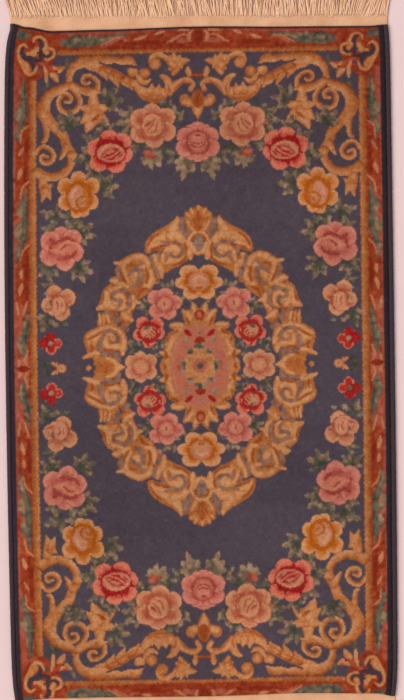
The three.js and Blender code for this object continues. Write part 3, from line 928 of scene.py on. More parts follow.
# The middle cartouche, in pixels from the photo's corner: its frame, the lights and shades on it,
# and florets as ramp, tone, x, y, half width and half length
FRAME_BODIES = (
    ((197, 320, 7), (194.6, 311, 4.4), (193, 303.6, 1.3)),
    ((192, 323, 6.4), (188, 316, 5), (183, 311, 1.6)),
    ((184, 333, 7), (179, 328, 5.6), (172.4, 326, 3)),
    ((180, 340, 7), (174, 338, 6.6), (170, 345, 5), (170, 351, 5)),
    ((173, 353, 6), (166, 354, 4), (159.4, 352.4, 0.9)),
    ((172, 360, 7), (167, 364, 6.6), (166, 369, 6.6)),
)
FRAME_LIGHTS = (
    ((193.4, 306, 1), (194.8, 312, 1.8), (195.4, 317, 1.4)),
    ((184, 311.8, 1.2), (188, 315, 1.8), (190.6, 319, 1.4)),
    ((172.6, 325.2, 1.3), (177, 325.4, 1.9), (182, 325, 1.6)),
    ((172.6, 341, 1.8), (171, 346, 2.4), (168, 350, 1.6)),
    ((160.4, 352.8, 0.9), (166, 354.2, 1.5), (172, 354.8, 1.6)),
)
FRAME_SHADES = (
    ((186, 318, 1), (188, 322, 1.5), (189.4, 325, 1)),
    ((171, 334.4, 1.4), (175, 332.8, 1.8), (177.4, 331, 1)),
    ((167.4, 337, 1), (167.8, 341, 1.4)),
    ((165, 352, 1), (166.4, 356, 1.8), (165.4, 359.6, 1)),
    ((164.4, 364, 1), (165.4, 368, 1.8)),
)
FLORETS = (
    ("rust", 0.4, 0, 50.8, 5.4, 5.6), ("coral", 0.7, 0, 50.8, 2.6, 2.8), ("sage", 0.75, 0, 34, 2.2, 2.4),
    ("sage", 0.7, 14, 25.6, 2.2, 4), ("gold", 0.62, 0, 0, 15, 13.4), ("gold", 0.6, 10.5, 7.5, 4.4, 4),
    ("gold", 0.6, 4, 13, 4.4, 4), ("rust", 0, 0, 25.2, 5.2, 4), ("red", 0.1, 0, 26, 2, 1.8),
    ("sage", 0.6, 3.2, 20, 3.2, 3), ("green", 0.45, 0.6, 20, 1.8, 2.6), ("coral", 0.75, 14, 18, 4, 3.4),
    ("sage", 0.6, 9.8, 14.4, 3.7, 3.2), ("green", 0.5, 10.6, 13.4, 2.2, 1.8),
    ("coral", 0.65, 20.6, 1, 2.8, 4.8), ("sage", 0.6, 16.3, 1.4, 2.6, 5.8),
    ("green", 0.5, 15.8, 0.6, 1.4, 4), ("coral", 0.6, 0, 0, 8, 7.6), ("gold", 0.6, 6.6, 6.6, 2.4, 2.2),
    ("green", 0.2, 0, 0, 3, 3.2),
)
FLORET_BUDS = (((191.6, 336, 0.8), (188.8, 334, 2.2), (186.4, 331.8, 2.2), (185.6, 330.2, 0.9)),)
# The oval: half width and half length, lobes round its edge and their depth, and where its rim starts
OVAL_WIDE = 30.5
OVAL_LONG = 43
OVAL_LOBES = 9
OVAL_LOBE = 0.035
OVAL_RIM = 0.86


def draw_cartouche(chart):
    """The middle: a salmon oval in a notched gold frame with small florets."""
    chart.limbs("gold", FRAME_BODIES, from_corner, tone=0.66, edge=0.16)
    chart.limbs("gold", FRAME_LIGHTS, from_corner, grow=0.3, tone=1.0, edge=0.4)
    way = np.arctan2(chart.y, chart.x)
    off = np.hypot(chart.x / OVAL_WIDE, chart.y / OVAL_LONG) / (1 + OVAL_LOBE * np.cos(OVAL_LOBES * way))
    chart.lay(off < 1, "peach", 0.55)
    chart.lay(off < OVAL_RIM, "salmon", 0.5)
    chart.limbs("umber", FRAME_SHADES, from_corner, grow=0.2, tone=0.5, edge=-0.4)
    chart.limbs("red", FLORET_BUDS, from_corner, tone=0.1, edge=-0.3)
    for ramp, tone, x, y, wide, long in FLORETS:
        chart.oval(ramp, x, y, wide, long, tone, edge=-0.25)


# Roses. Each kind has a ramp, how much its petals darken inside and towards the heart, its petals
# as rows of place out, place up and size, and its strokes.
SIX_PETALS = (
    (0.06, 0.6, 0.43), (-0.56, 0.38, 0.44), (-0.6, -0.28, 0.43), (-0.05, -0.6, 0.43), (0.58, -0.34, 0.44),
    (0.58, 0.34, 0.45),
)
ROSES = {
    "peach": ("peach", 0.36, 0.6, SIX_PETALS, (
        ("coral", 0.55, ((0.52, 0.05, 0.08), (0.4, 0.42, 0.1), (0, 0.56, 0.09), (-0.42, 0.4, 0.08))),
        ("coral", 0.5, (
            (0.5, 0.05, 0.08), (0.44, -0.34, 0.09), (0.14, -0.54, 0.1), (-0.24, -0.5, 0.08),
            (-0.52, -0.2, 0.08),
        )),
        ("coral", 0.6, ((0.7, 0.2, 0.04), (0.56, 0.44, 0.06))),
        ("coral", 0.6, ((-0.55, 0.58, 0.04), (-0.68, 0.34, 0.05))),
        ("coral", 0.6, ((0.7, -0.45, 0.03), (0.42, -0.57, 0.06), (0.2, -0.64, 0.04))),
        ("coral", 0.6, ((-0.1, -0.67, 0.03), (-0.4, -0.54, 0.05), (-0.66, -0.48, 0.04))),
        ("peach", 0.1, ((-0.5, 0.3, 0.02), (-0.54, 0, 0.03), (-0.42, -0.34, 0.03), (-0.18, -0.48, 0.02))),
        ("beige", 0.64, ((0.05, 0.1, 0.42), (0.02, -0.06, 0.43))),
        ("peach", 1.0, ((0.46, -0.06, 0.05), (0.32, 0.34, 0.06), (0, 0.48, 0.05), (-0.3, 0.34, 0.04))),
        ("coral", 0.4, ((0.37, 0, 0.04), (0.23, 0.07, 0.07), (0.1, 0.2, 0.04))),
        ("peach", 0.1, ((-0.06, 0.35, 0.03), (0.03, 0.05, 0.04), (0.27, -0.22, 0.03))),
        ("peach", 0.15, ((-0.2, 0.15, 0.03), (-0.11, -0.2, 0.04), (0.13, -0.36, 0.03))),
    )),
    "pink": ("pink", 0.15, 0.6, (
        (0, 0.58, 0.44), (0.36, 0.56, 0.32), (0.6, 0.3, 0.42), (0, -0.6, 0.42), (0.3, -0.6, 0.32),
        (0.64, -0.3, 0.42),
    ), (
        ("pink", 0.2, ((0.52, 0, 0.07), (0.42, 0.38, 0.07), (0, 0.56, 0.07))),
        ("pink", 0.12, ((0.56, -0.05, 0.05), (0.5, -0.28, 0.06), (0.36, -0.5, 0.06), (0, -0.6, 0.06))),
        ("coral", 0.5, ((0.1, -0.2, 0.34), (-0.1, -0.2, 0.34))),
        ("pink", 0.1, ((0.46, 0, 0.04), (0.3, -0.18, 0.05), (0, -0.24, 0.06))),
        ("pink", 0.9, ((0.42, -0.04, 0.03), (0.24, -0.3, 0.04), (0, -0.36, 0.04))),
        ("coral", 1.0, ((0.38, -0.16, 0.05), (0.2, -0.4, 0.06), (0, -0.47, 0.07))),
        ("pink", 0.85, ((0, 0.16, 0.34), (0, 0.1, 0.34))),
        ("coral", 1.0, ((0.36, 0.06, 0.04), (0.26, 0.36, 0.05), (0, 0.47, 0.05))),
        ("pink", 0.95, ((0.24, 0.02, 0.05), (0.14, 0.2, 0.05), (0, 0.26, 0.05))),
        ("red", 0.35, ((0.13, 0.32, 0.03), (0, 0.34, 0.04))),
        ("pink", 0.25, ((0.22, -0.04, 0.04), (0, -0.1, 0.05))),
    )),
    "red": ("red", 0.08, 0.66, (
        (0.05, 0.6, 0.42), (-0.54, 0.42, 0.42), (-0.62, -0.14, 0.4), (-0.26, -0.6, 0.42), (0.5, -0.5, 0.43),
        (0.6, 0.16, 0.44),
    ), (
        ("red", 0.1, ((0.6, 0.06, 0.08), (0.42, 0.4, 0.14), (-0.05, 0.44, 0.12), (-0.48, 0.36, 0.14))),
        ("red", 0.1, (
            (-0.48, 0.36, 0.12), (-0.66, -0.04, 0.07), (-0.54, -0.42, 0.06), (-0.1, -0.58, 0.09),
        )),
        ("red", 0.1, ((-0.1, -0.58, 0.09), (0.3, -0.52, 0.07), (0.56, -0.26, 0.08), (0.6, 0.06, 0.08))),
        ("red", 0.12, ((0.38, 0.44, 0.1), (0.46, 0.72, 0.04))),
        ("red", 0.12, ((-0.26, 0.44, 0.1), (-0.26, 0.66, 0.04))),
        ("red", 0.12, ((-0.64, 0.1, 0.1), (-0.84, 0.18, 0.04))),
        ("red", 0.12, ((0.1, -0.6, 0.1), (0.14, -0.82, 0.04))),
        ("red", 0.12, ((0.56, -0.2, 0.08), (0.76, -0.22, 0.04))),
        ("salmon", 0.8, ((0.5, -0.14, 0.1), (0.2, -0.06, 0.37), (-0.25, -0.1, 0.39), (-0.58, -0.12, 0.1))),
        ("peach", 1.0, ((0.5, -0.16, 0.04), (0.2, 0.26, 0.05), (-0.2, 0.3, 0.05), (-0.56, 0.02, 0.04))),
        ("coral", 0.5, ((0.4, -0.2, 0.05), (0.14, 0.06, 0.06), (-0.2, 0.16, 0.04))),
        ("red", 0.3, ((0.2, -0.16, 0.03), (-0.07, -0.12, 0.05), (-0.32, 0.04, 0.03))),
        ("red", 0.25, ((-0.1, -0.3, 0.03), (-0.34, -0.16, 0.05), (-0.46, -0.03, 0.03))),
        ("red", 0.45, ((0.16, -0.36, 0.03), (-0.17, -0.34, 0.04))),
        ("red", 0.3, ((-0.4, -0.28, 0.03), (-0.58, -0.12, 0.04))),
        ("red", 0.4, ((-0.16, 0.08, 0.03), (-0.42, 0.12, 0.04))),
        ("red", 0.5, ((0.36, -0.28, 0.03), (0.2, -0.24, 0.04), (0.02, -0.24, 0.03))),
    )),
    "orange": ("orange", 0.3, 0.75, (
        (0.02, 0.7, 0.38), (0.64, 0.4, 0.38), (-0.64, 0.4, 0.38), (0.64, -0.3, 0.36), (-0.62, -0.3, 0.34),
        (0.1, -0.72, 0.3), (-0.24, -0.68, 0.28),
    ), (
        ("orange", 0.02, (
            (0.54, -0.05, 0.08), (0.43, 0.32, 0.12), (0.03, 0.5, 0.15), (-0.4, 0.38, 0.12),
            (-0.54, 0.05, 0.09),
        )),
        ("orange", 0.05, (
            (-0.54, 0.05, 0.09), (-0.54, -0.34, 0.08), (-0.29, -0.62, 0.08), (0.13, -0.7, 0.1),
        )),
        ("orange", 0.05, ((0.13, -0.7, 0.1), (0.43, -0.5, 0.08), (0.54, -0.05, 0.08))),
        ("blush", 0.65, ((0.03, 0.28, 0.2), (0.13, -0.05, 0.36), (-0.03, -0.32, 0.34))),
        ("blush", 1.0, ((0.34, -0.12, 0.06), (0.24, 0.16, 0.08), (0.06, 0.34, 0.05))),
        ("beige", 0.6, ((-0.16, -0.34, 0.22), (-0.2, -0.38, 0.2))),
        ("orange", 0.15, (
            (-0.48, -0.1, 0.03), (-0.13, -0.07, 0.05), (0.1, -0.24, 0.06), (0.08, -0.48, 0.05),
        )),
        ("orange", 0.15, (
            (0.08, -0.48, 0.05), (-0.18, -0.6, 0.05), (-0.4, -0.43, 0.05), (-0.32, -0.22, 0.04),
        )),
        ("orange", 0.3, ((-0.1, -0.4, 0.04), (-0.24, -0.32, 0.06))),
    )),
    "side pink": ("pink", 0.25, 0.6, (
        (0.02, 0.58, 0.42), (-0.5, 0.46, 0.42), (-0.58, -0.16, 0.44), (-0.14, -0.56, 0.44),
        (0.54, -0.28, 0.48), (0.54, 0.34, 0.46),
    ), (
        ("pink", 0.08, ((0.52, 0.42, 0.08), (0.25, 0.26, 0.09), (-0.17, 0.47, 0.08), (-0.5, 0.4, 0.08))),
        ("pink", 0.15, ((0.6, -0.2, 0.06), (0.5, 0.1, 0.07), (0.46, 0.3, 0.06))),
        ("pink", 0.1, ((0.2, -0.5, 0.06), (-0.13, -0.44, 0.09), (-0.5, -0.34, 0.08), (-0.66, -0.14, 0.05))),
        ("pink", 0.7, ((0.25, -0.08, 0.2), (-0.1, 0.03, 0.3), (-0.4, 0, 0.2))),
        ("peach", 0.8, ((0.5, -0.08, 0.04), (0.21, -0.08, 0.05), (-0.13, -0.28, 0.04))),
        ("peach", 0.8, (
            (0.25, -0.08, 0.04), (-0.04, 0.16, 0.05), (-0.29, 0.34, 0.04), (-0.46, 0.22, 0.04),
        )),
        ("peach", 0.6, ((-0.46, 0.22, 0.04), (-0.62, -0.04, 0.04), (-0.38, -0.16, 0.03))),
        ("pink", 0.15, ((0.04, -0.06, 0.05), (-0.17, 0.14, 0.05), (-0.36, 0.16, 0.04))),
        ("salmon", 0.7, ((-0.1, -0.1, 0.07), (-0.34, 0.02, 0.08))),
    )),
    "side peach": ("peach", 0.25, 0.6, (
        (0.24, 0.5, 0.46), (-0.5, 0.26, 0.47), (0.54, -0.12, 0.43), (-0.16, -0.5, 0.48), (0.2, -0.3, 0.44),
    ), (
        ("peach", 0.2, ((0.6, 0.44, 0.05), (0.33, 0.36, 0.08), (-0.06, 0.46, 0.05))),
        ("peach", 0.2, ((-0.34, -0.04, 0.07), (-0.7, 0.04, 0.07))),
        ("peach", 0.15, ((0, -0.46, 0.05), (-0.4, -0.36, 0.08), (-0.56, -0.2, 0.05))),
        ("peach", 0.2, ((0.8, -0.32, 0.05), (0.46, -0.4, 0.08))),
        ("coral", 0.45, ((0.4, 0.28, 0.05), (0.06, 0.34, 0.08), (-0.34, 0.24, 0.05))),
        ("coral", 0.4, ((-0.42, 0.1, 0.05), (-0.46, -0.3, 0.07), (-0.28, -0.62, 0.05))),
        ("blush", 0.75, ((-0.02, -0.02, 0.34), (-0.04, -0.34, 0.34))),
        ("coral", 0.6, ((0.12, 0.06, 0.04), (0.02, -0.12, 0.06), (0.08, -0.36, 0.04))),
        ("peach", 0.25, ((-0.16, 0.06, 0.03), (-0.2, -0.24, 0.05))),
        ("sage", 0.4, ((0.42, 0.14, 0.06), (0.45, -0.08, 0.06))),
        ("sage", 0.3, ((-0.3, 0.36, 0.05), (-0.24, 0.26, 0.05))),
    )),
    "side red": ("red", 0.4, 0.5, (
        (0.04, 0.54, 0.46), (0.54, 0.04, 0.48), (-0.04, -0.54, 0.44), (-0.58, 0, 0.42),
    ), (
        ("red", 0.24, ((0.06, 0.4, 0.34), (0.05, 0.58, 0.43))),
        ("red", 0.2, ((0.4, 0.04, 0.36), (0.58, 0.05, 0.45))),
        ("red", 0.42, ((-0.04, -0.4, 0.28), (-0.05, -0.6, 0.28))),
        ("red", 0.5, ((-0.4, 0, 0.22), (-0.62, 0, 0.28))),
        ("red", 0.05, ((0.1, 0.3, 0.1), (0.34, 0.2, 0.12), (0.26, -0.2, 0.1), (0.1, -0.36, 0.08))),
        ("red", 0.1, ((0.05, 0.84, 0.04), (0.05, 0.6, 0.08))),
        ("sage", 0.8, ((0.03, 0.02, 0.2), (-0.03, -0.04, 0.2))),
    )),
    "ring orange": ("orange", 0.1, 0.8, (
        (0.42, 0.56, 0.42), (-0.42, 0.56, 0.42), (0.7, -0.06, 0.34), (-0.7, -0.06, 0.34),
        (0.32, -0.64, 0.38), (-0.32, -0.64, 0.38),
    ), (
        ("orange", 0.0, (
            (0.56, -0.06, 0.1), (0.42, 0.4, 0.12), (0, 0.46, 0.06), (-0.42, 0.4, 0.12),
            (-0.56, -0.06, 0.1),
        )),
        ("orange", 0.0, (
            (0.5, -0.3, 0.06), (0.24, -0.54, 0.12), (0, -0.5, 0.05), (-0.24, -0.54, 0.12),
            (-0.5, -0.3, 0.06),
        )),
        ("blush", 0.5, ((0.05, 0.02, 0.46), (-0.05, 0, 0.46))),
        ("peach", 0.85, ((0.05, -0.08, 0.32), (-0.05, -0.1, 0.32))),
        ("blush", 1.0, ((0.28, 0.12, 0.05), (0, 0.3, 0.06), (-0.28, 0.12, 0.05))),
        ("orange", 0.1, ((0.1, -0.34, 0.05), (0, -0.4, 0.08), (-0.1, -0.34, 0.05))),
    )),
    "ring pink": ("pink", 0.15, 0.55, (
        (0.52, 0.42, 0.47), (-0.06, 0.58, 0.45), (-0.58, 0.08, 0.46), (-0.24, -0.56, 0.45),
        (0.46, -0.46, 0.46), (-0.88, 0.1, 0.16),
    ), (
        ("pink", 0.32, (
            (0.5, -0.1, 0.05), (0.44, 0.3, 0.05), (0, 0.48, 0.05), (-0.42, 0.3, 0.05),
            (-0.52, -0.08, 0.05),
        )),
        ("pink", 0.32, ((-0.52, -0.08, 0.05), (-0.3, -0.44, 0.05), (0.12, -0.5, 0.05), (0.5, -0.1, 0.05))),
        ("pink", 0.85, ((0.03, 0.02, 0.4), (-0.03, 0, 0.4))),
        ("blush", 0.7, ((0.04, 0, 0.3), (-0.02, -0.02, 0.3))),
        ("pink", 0.95, ((0.16, -0.1, 0.04), (0.14, 0.14, 0.05), (-0.1, 0.18, 0.05))),
        ("pink", 0.25, ((0.02, 0.08, 0.07), (0, -0.06, 0.08))),
    )),
    "ring red": ("red", 0.1, 0.6, (
        (0.44, 0.58, 0.44), (-0.5, 0.5, 0.44), (-0.62, -0.06, 0.4), (0.1, -0.72, 0.32),
        (0.68, -0.16, 0.4), (0, -0.4, 0.5),
    ), (
        ("red", 0.25, (
            (0.6, 0.2, 0.09), (0.3, 0.54, 0.12), (-0.2, 0.52, 0.12), (-0.6, 0.26, 0.14),
            (-0.6, -0.16, 0.14),
        )),
        ("red", 0.3, ((-0.6, -0.16, 0.13), (-0.3, -0.5, 0.14), (0.16, -0.6, 0.15), (0.54, -0.36, 0.1))),
        ("red", 0.2, ((0.16, -0.6, 0.14), (0.1, -0.84, 0.08))),
        ("red", 0.25, ((0.74, -0.06, 0.14), (0.7, -0.26, 0.1))),
        ("blush", 0.6, ((0.26, 0.04, 0.34), (0, -0.02, 0.41), (-0.16, 0, 0.34))),
        ("coral", 0.5, ((0.34, -0.3, 0.04), (0.06, -0.36, 0.05), (-0.2, -0.3, 0.04))),
        ("sage", 0.3, ((0.3, 0.22, 0.1), (0.14, 0.3, 0.12), (0.02, 0.36, 0.06))),
        ("red", 0.2, ((-0.22, 0.24, 0.04), (-0.4, 0.08, 0.08), (-0.5, -0.1, 0.04))),
        ("red", 0.3, ((-0.08, 0.06, 0.03), (-0.26, -0.06, 0.05), (-0.34, -0.2, 0.03))),
        ("salmon", 0.9, ((-0.64, 0.16, 0.05), (-0.62, -0.02, 0.06))),
        ("red", 0.4, ((-0.02, -0.16, 0.04), (-0.14, -0.22, 0.06))),
        ("coral", 0.4, ((0.28, -0.12, 0.04), (0.16, -0.2, 0.05))),
    )),
    "ring peach": ("peach", 0.2, 0.6, SIX_PETALS, (
        ("coral", 0.5, ((0.48, 0.24, 0.06), (0.54, -0.06, 0.1), (0.42, -0.38, 0.09), (0.14, -0.52, 0.06))),
        ("coral", 0.45, ((-0.4, 0.36, 0.06), (-0.55, 0.06, 0.1), (-0.46, -0.3, 0.1), (-0.24, -0.48, 0.06))),
        ("coral", 0.55, ((0.3, 0.48, 0.05), (0, 0.56, 0.08), (-0.24, 0.5, 0.05))),
        ("coral", 0.6, ((0.62, -0.4, 0.06), (0.5, -0.58, 0.09))),
        ("coral", 0.6, ((0.04, -0.56, 0.06), (-0.08, -0.7, 0.08))),
        ("beige", 0.62, ((0.06, 0.02, 0.42), (-0.06, 0, 0.42))),
        ("peach", 0.9, ((0.04, 0.08, 0.24), (0, -0.06, 0.28))),
        ("coral", 0.75, ((0.14, -0.1, 0.05), (0, -0.16, 0.07), (-0.1, -0.04, 0.05))),
    )),
}
# Where the roses are: kind, x, y, half width, half length
ROSE_PLACES = (
    ("peach", 44.8, 240.4, 22.4, 21.6),
    ("pink", 0, 223.5, 20.8, 19.8),
    ("red", 88, 215.4, 22.2, 21.2),
    ("orange", 119.6, 172.4, 20.8, 22.4),
    ("side pink", 136.8, 119.4, 21.4, 22),
    ("side peach", 140.6, 65.6, 17.6, 18.2),
    ("side red", 148.8, 24.8, 11.6, 11),
    ("ring orange", 0, 84, 23.2, 17.2),
    ("ring pink", 34.8, 62.4, 17.2, 15.4),
    ("ring red", 50.2, 34.5, 15, 15.4),
    ("ring peach", 58.8, 0, 15.6, 15),
)
# Leaf sprays: x, y, way in degrees, length, and steps of the fan, which has one leaf more
SPRAYS = (
    (103, 224, 35, 17, 2), (108, 210, -12, 19, 2), (100, 198, -52, 18, 3), (98, 178, 150, 22, 3),
    (128, 239, 68, 22, 3), (93, 264, 150, 22, 3), (64, 246, 12, 22, 3), (64, 236, -18, 20, 2),
    (92, 236, 75, 15, 2), (64, 226, -35, 18, 2), (56, 222, -100, 16, 1), (34, 220, -70, 20, 2),
    (21, 210, -38, 13, 2), (22, 243, 62, 20, 3), (30, 257, 48, 14, 2),
    (121, 134, 168, 21, 3), (122, 102, 225, 21, 3), (148, 103, -62, 19, 3), (144, 136, 20, 15, 2),
    (124, 152, -62, 20, 2), (140, 149, 22, 21, 2), (147, 80, 25, 13, 2), (152, 52, -70, 18, 2),
    (138, 46, -95, 12, 1),
)
RING_SPRAYS = (
    (28, 76, 35, 14, 2), (19, 70, -40, 12, 2), (12, 68, -75, 12, 1), (50, 60, -8, 14, 2),
    (45, 49, 100, 10, 2), (39, 26, -120, 13, 2), (62, 18, 35, 13, 2), (47, 14, 150, 11, 1),
    (66, 22, -10, 10, 1),
)
# The bud: its place, and its leaves as way in degrees, length, ramps of tip and base
BUD = (51, 213)
BUD_LEAVES = (
    (-78, 13, "sage", "sage"), (-168, 14, "sage", "coral"), (-108, 17, "straw", "coral"),
    (-137, 20, "straw", "coral"),
)
# Leaves under the middle rose: their stalk's place, then way in degrees and length
MIDDLE_STALK = (9.5, 206)
MIDDLE_LEAVES = ((-10, 15), (-112, 14), (-42, 18), (-72, 22))


def draw_flowers(chart):
    """Garland and inner ring: leaf sprays and the bud first, then the roses over them."""
    for spray in SPRAYS + RING_SPRAYS:
        chart.spray(*spray)
    for turn, length, tip, base in BUD_LEAVES:
        chart.leaf(*BUD, turn, length, 9, tip, base)
    for turn, length in MIDDLE_LEAVES:
        chart.leaf(*MIDDLE_STALK, turn, length, 9.6, "straw", "sage")
    chart.oval("coral", BUD[0], BUD[1] + 0.6, 4.4, 3, 0.7, edge=0.3)
    chart.leaf(64, 242, 8, 15, 9, "sage", "peach")
    for place in ROSE_PLACES:
        chart.rose(*place)


def draw_fleuron(chart):
    """A small fleuron at the middle of each side: a round head and two lobes, by a dark green haze."""
    chart.oval("green", 152.4, 0, 4.6, 9, 0.1)
    for turn in (-40, 40):
        chart.leaf(140.6, 0, turn, 10.4, 5.6, "beige", "gold")
    chart.oval("field", 148.6, 0, 4.2, 2.2, 0.3)
    chart.oval("beige", 138.2, 0, 4.8, 4.4, 0.75, edge=0.5)
    chart.oval("umber", 138.4, 0, 1.7, 1.5, 0.9)


def draw_quarter():
    """The whole quarter, from the ground up."""
    across = (np.arange(KNOTS_ACROSS) + 0.5) * KNOT_WIDE
    along = (np.arange(KNOTS_FAR) + 0.5) * KNOT_LONG
    chart = Chart(across, along)
    draw_border(chart)
    draw_corner_scrolls(chart)
    draw_corner_cartouche(chart)
    draw_guard(chart)
    draw_end_swag(chart)
    draw_wreath(chart)
    draw_flowers(chart)
    draw_fleuron(chart)
    draw_cartouche(chart)
    return chart


def linear(colour):
    """Colour as seen (sRGB, 0 to 255) to linear light."""
    share = np.asarray(colour, float) / 255
    return np.where(share <= 0.04045, share / 12.92, ((share + 0.055) / 1.055) ** 2.4)


def slow_wave(count, beat, seed):
    """A slow uneven wave: random heights every beat places, eased between them."""
    heights = np.random.default_rng(seed).normal(size=int(count / beat) + 3)
    place = np.arange(count) / beat
    return np.interp(place, np.arange(heights.size), heights)


def clouds(shape, beat, seed):
    """Soft random patches: random heights on a coarse grid, eased between along both ways."""
    tall, wide = int(shape[0] / beat) + 3, int(shape[1] / beat) + 3
    heights = np.random.default_rng(seed).normal(size=(tall, wide))
    rows = np.arange(shape[0]) / beat
    columns = np.arange(shape[1]) / beat
    down, right = rows.astype(int)[:, None], columns.astype(int)[None, :]
    v, u = (rows % 1)[:, None], (columns % 1)[None, :]
    v, u = v * v * (3 - 2 * v), u * u * (3 - 2 * u)
    near = heights[down, right] * (1 - u) + heights[down, right + 1] * u
    far = heights[down + 1, right] * (1 - u) + heights[down + 1, right + 1] * u
    return near * (1 - v) + far * v


def mirrored(quarter):
    """A quarter's values mirrored to the whole rug, whose near half is the shorter one."""
    half = np.hstack((quarter[:, ::-1], quarter))
    return np.vstack((half[KNOTS_NEAR - 1 :: -1], half))


def knot_colours():
    """Each knot's colour: the quarter mirrored to the whole rug, its tone made uneven by soft patches
    and a little scatter, then taken to the nearest of the ramp's yarns. Dye lots change from row to
    row, wool takes the dye unevenly, and the tips of the cut pile lean over their neighbours. Painted
    shade makes the pile darker towards the far end and the far right corner, lighter by the near end."""
    chart = draw_quarter()
    yarn = mirrored(chart.yarn.reshape(chart.shape))
    tone = mirrored(chart.tone.reshape(chart.shape))
    yarn[:, -RIGHT_GUARD:] = RAMP_NAMES.index("midnight")
    tone[:, -RIGHT_GUARD:] = GUARD_TONE
    scatter = np.random.default_rng(7)
    patchy = np.array([PATCHY.get(name, PATCHY_OTHERS) for name in RAMP_NAMES])[yarn]
    level = tone + patchy * clouds(tone.shape, PATCH_SIZE, 19) + scatter.normal(0, TONE_SCATTER, tone.shape)
    level = np.round(np.clip(level, 0, 1) * (TONES - 1)) / (TONES - 1)
    stops = linear(np.array([RAMPS[name] for name in RAMP_NAMES]))[yarn]
    low = stops[:, :, 0] + (stops[:, :, 1] - stops[:, :, 0]) * (2 * level)[:, :, None]
    high = stops[:, :, 1] + (stops[:, :, 2] - stops[:, :, 1]) * (2 * level - 1)[:, :, None]
    colour = np.where((level < 0.5)[:, :, None], low, high)
    lots = 1 + LOT_CHANGE * slow_wave(tone.shape[0], LOT_SIZE, 11)[:, None]
    worn = 1 + WEAR_CHANGE * slow_wave(tone.shape[1], WEAR_SIZE, 12)[None, :]
    uneven = CLOUD_CHANGE * clouds(tone.shape, CLOUD_SIZE, 17)
    speckle = 1 + uneven + scatter.normal(0, KNOT_SCATTER, tone.shape)
    # Painted shade of the nap: darker towards the far end and in the far right corner, lighter by the near
    # end
    run = np.arange(-KNOTS_NEAR, KNOTS_FAR) / KNOTS_FAR
    nap_shade = np.column_stack([np.interp(run, NAP_SHADE_RUN, left) for left in NAP_SHADE_LEVELS])
    right = np.clip(np.linspace(-1, 1, tone.shape[1]), 0, 1)
    corner = np.outer(np.clip(run / CORNER_SHADE_RUN, 0, 1), right)
    nap_shade = nap_shade[:, None, :] * (1 - corner[:, :, None] * CORNER_SHADE)
    colour = colour * (lots * worn * speckle)[:, :, None] * nap_shade
    rim = np.pad(colour, ((1, 1), (1, 1), (0, 0)), "edge")
    around = rim[:-2, 1:-1] + rim[2:, 1:-1] + rim[1:-1, :-2] + rim[1:-1, 2:]
    return np.clip(colour * (1 - 4 * LEAN_OVER) + around * LEAN_OVER, 0, 1)


# Shader arithmetic


class Wire:
    """One socket in a material's nodes. Arithmetic on it adds Math nodes, and node() adds any other."""

    def __init__(self, tree, socket=None):
        self.tree = tree
        self.socket = socket

    def node(self, kind, settings=None, sockets=None, output=0):
        """Adds a node of a kind, with its settings first, then values or links for its sockets."""
        made = self.tree.nodes.new(kind)
        for name, value in (settings or {}).items():
            setattr(made, name, value)
        for name, value in (sockets or {}).items():
            if isinstance(value, Wire):
                self.tree.links.new(value.socket, made.inputs[name])
            else:
                made.inputs[name].default_value = value
        return Wire(self.tree, made.outputs[output])

    def math(self, operation, *terms):
        """Adds a Math node for an operation on some terms."""
        return self.node("ShaderNodeMath", {"operation": operation}, dict(enumerate(terms)))

    def __add__(self, other):
        return self.math("ADD", self, other)

    def __radd__(self, other):
        return self.math("ADD", other, self)

    def __sub__(self, other):
        return self.math("SUBTRACT", self, other)

    def __rsub__(self, other):
        return self.math("SUBTRACT", other, self)

    def __mul__(self, other):
        return self.math("MULTIPLY", self, other)

    def __rmul__(self, other):
        return self.math("MULTIPLY", other, self)

    def __gt__(self, other):
        return self.math("GREATER_THAN", self, other)

    def share(self):
        """What is left of a value after its whole part."""
        return self.math("FRACT", self)

    def wave(self):
        """Sine of a value counted in turns."""
        return self.math("SINE", self * (2 * math.pi))

    def object_place(self):
        """Places in the piece's own space, which is the rug's."""
        return self.node("ShaderNodeTexCoord", output=3)

    def part(self, axis):
        """One coordinate of a place: 0 across, 1 along and 2 up."""
        return self.node("ShaderNodeSeparateXYZ", None, {0: self}, axis)

    def mix(self, other, share):
        """Goes from this colour to another by a share."""
        return self.node("ShaderNodeMix", {"data_type": "RGBA"}, {0: share, 6: self, 7: other}, 2)

    def lit(self, value):
        """This colour made lighter or darker by a value."""
        return self.node("ShaderNodeHueSaturation", None, {"Value": value, "Color": self})


# Finishes of the other pieces, as seen (sRGB): the cords' wool where it is dark and where it is faded,
# cotton where it is clean and where it is stained, and the painted shade low between the fringe's yarns
CORD_DARK = (40, 33, 39)
CORD_FADED = (86, 67, 68)
BAND_CLEAN = (240, 187, 148)
BAND_STAINED = (208, 150, 111)
FRINGE_CLEAN = (254, 208, 170)
FRINGE_STAINED = (236, 183, 145)
FRINGE_PAINTED_SHADE = (152, 94, 58)

# From warp to warp and from weft to weft of a band, and between which heights the fringe is painted browner
# as shade between its yarns
BAND_WARP = 3.8 * MM
BAND_WEFT = 1.5 * MM
PAINTED_SHADE_FROM = 3.4 * MM
PAINTED_SHADE_TO = 1.6 * MM


def new_material(name, roughness, sheen, specular=0.2):
    """An empty cloth material: its tree's wire, and its shader with the sockets that stay the same."""
    material = bpy.data.materials.new(name)
    material.use_nodes = True
    tree = material.node_tree
    shader = tree.nodes["Principled BSDF"]
    shader.inputs["Roughness"].default_value = roughness
    shader.inputs["Sheen Weight"].default_value = sheen
    shader.inputs["Sheen Roughness"].default_value = 0.5
    shader.inputs["Specular IOR Level"].default_value = specular
    return material, Wire(tree), shader


def wool_finish(wires, shader, colour, height, depth):
    """Joins a colour and a height to the shader, the height as a bump of some depth."""
    bump = wires.node("ShaderNodeBump", None, {"Strength": 1.0, "Distance": depth, "Height": height})
    wires.tree.links.new(colour.socket, shader.inputs["Base Color"])
    wires.tree.links.new(bump.socket, shader.inputs["Normal"])


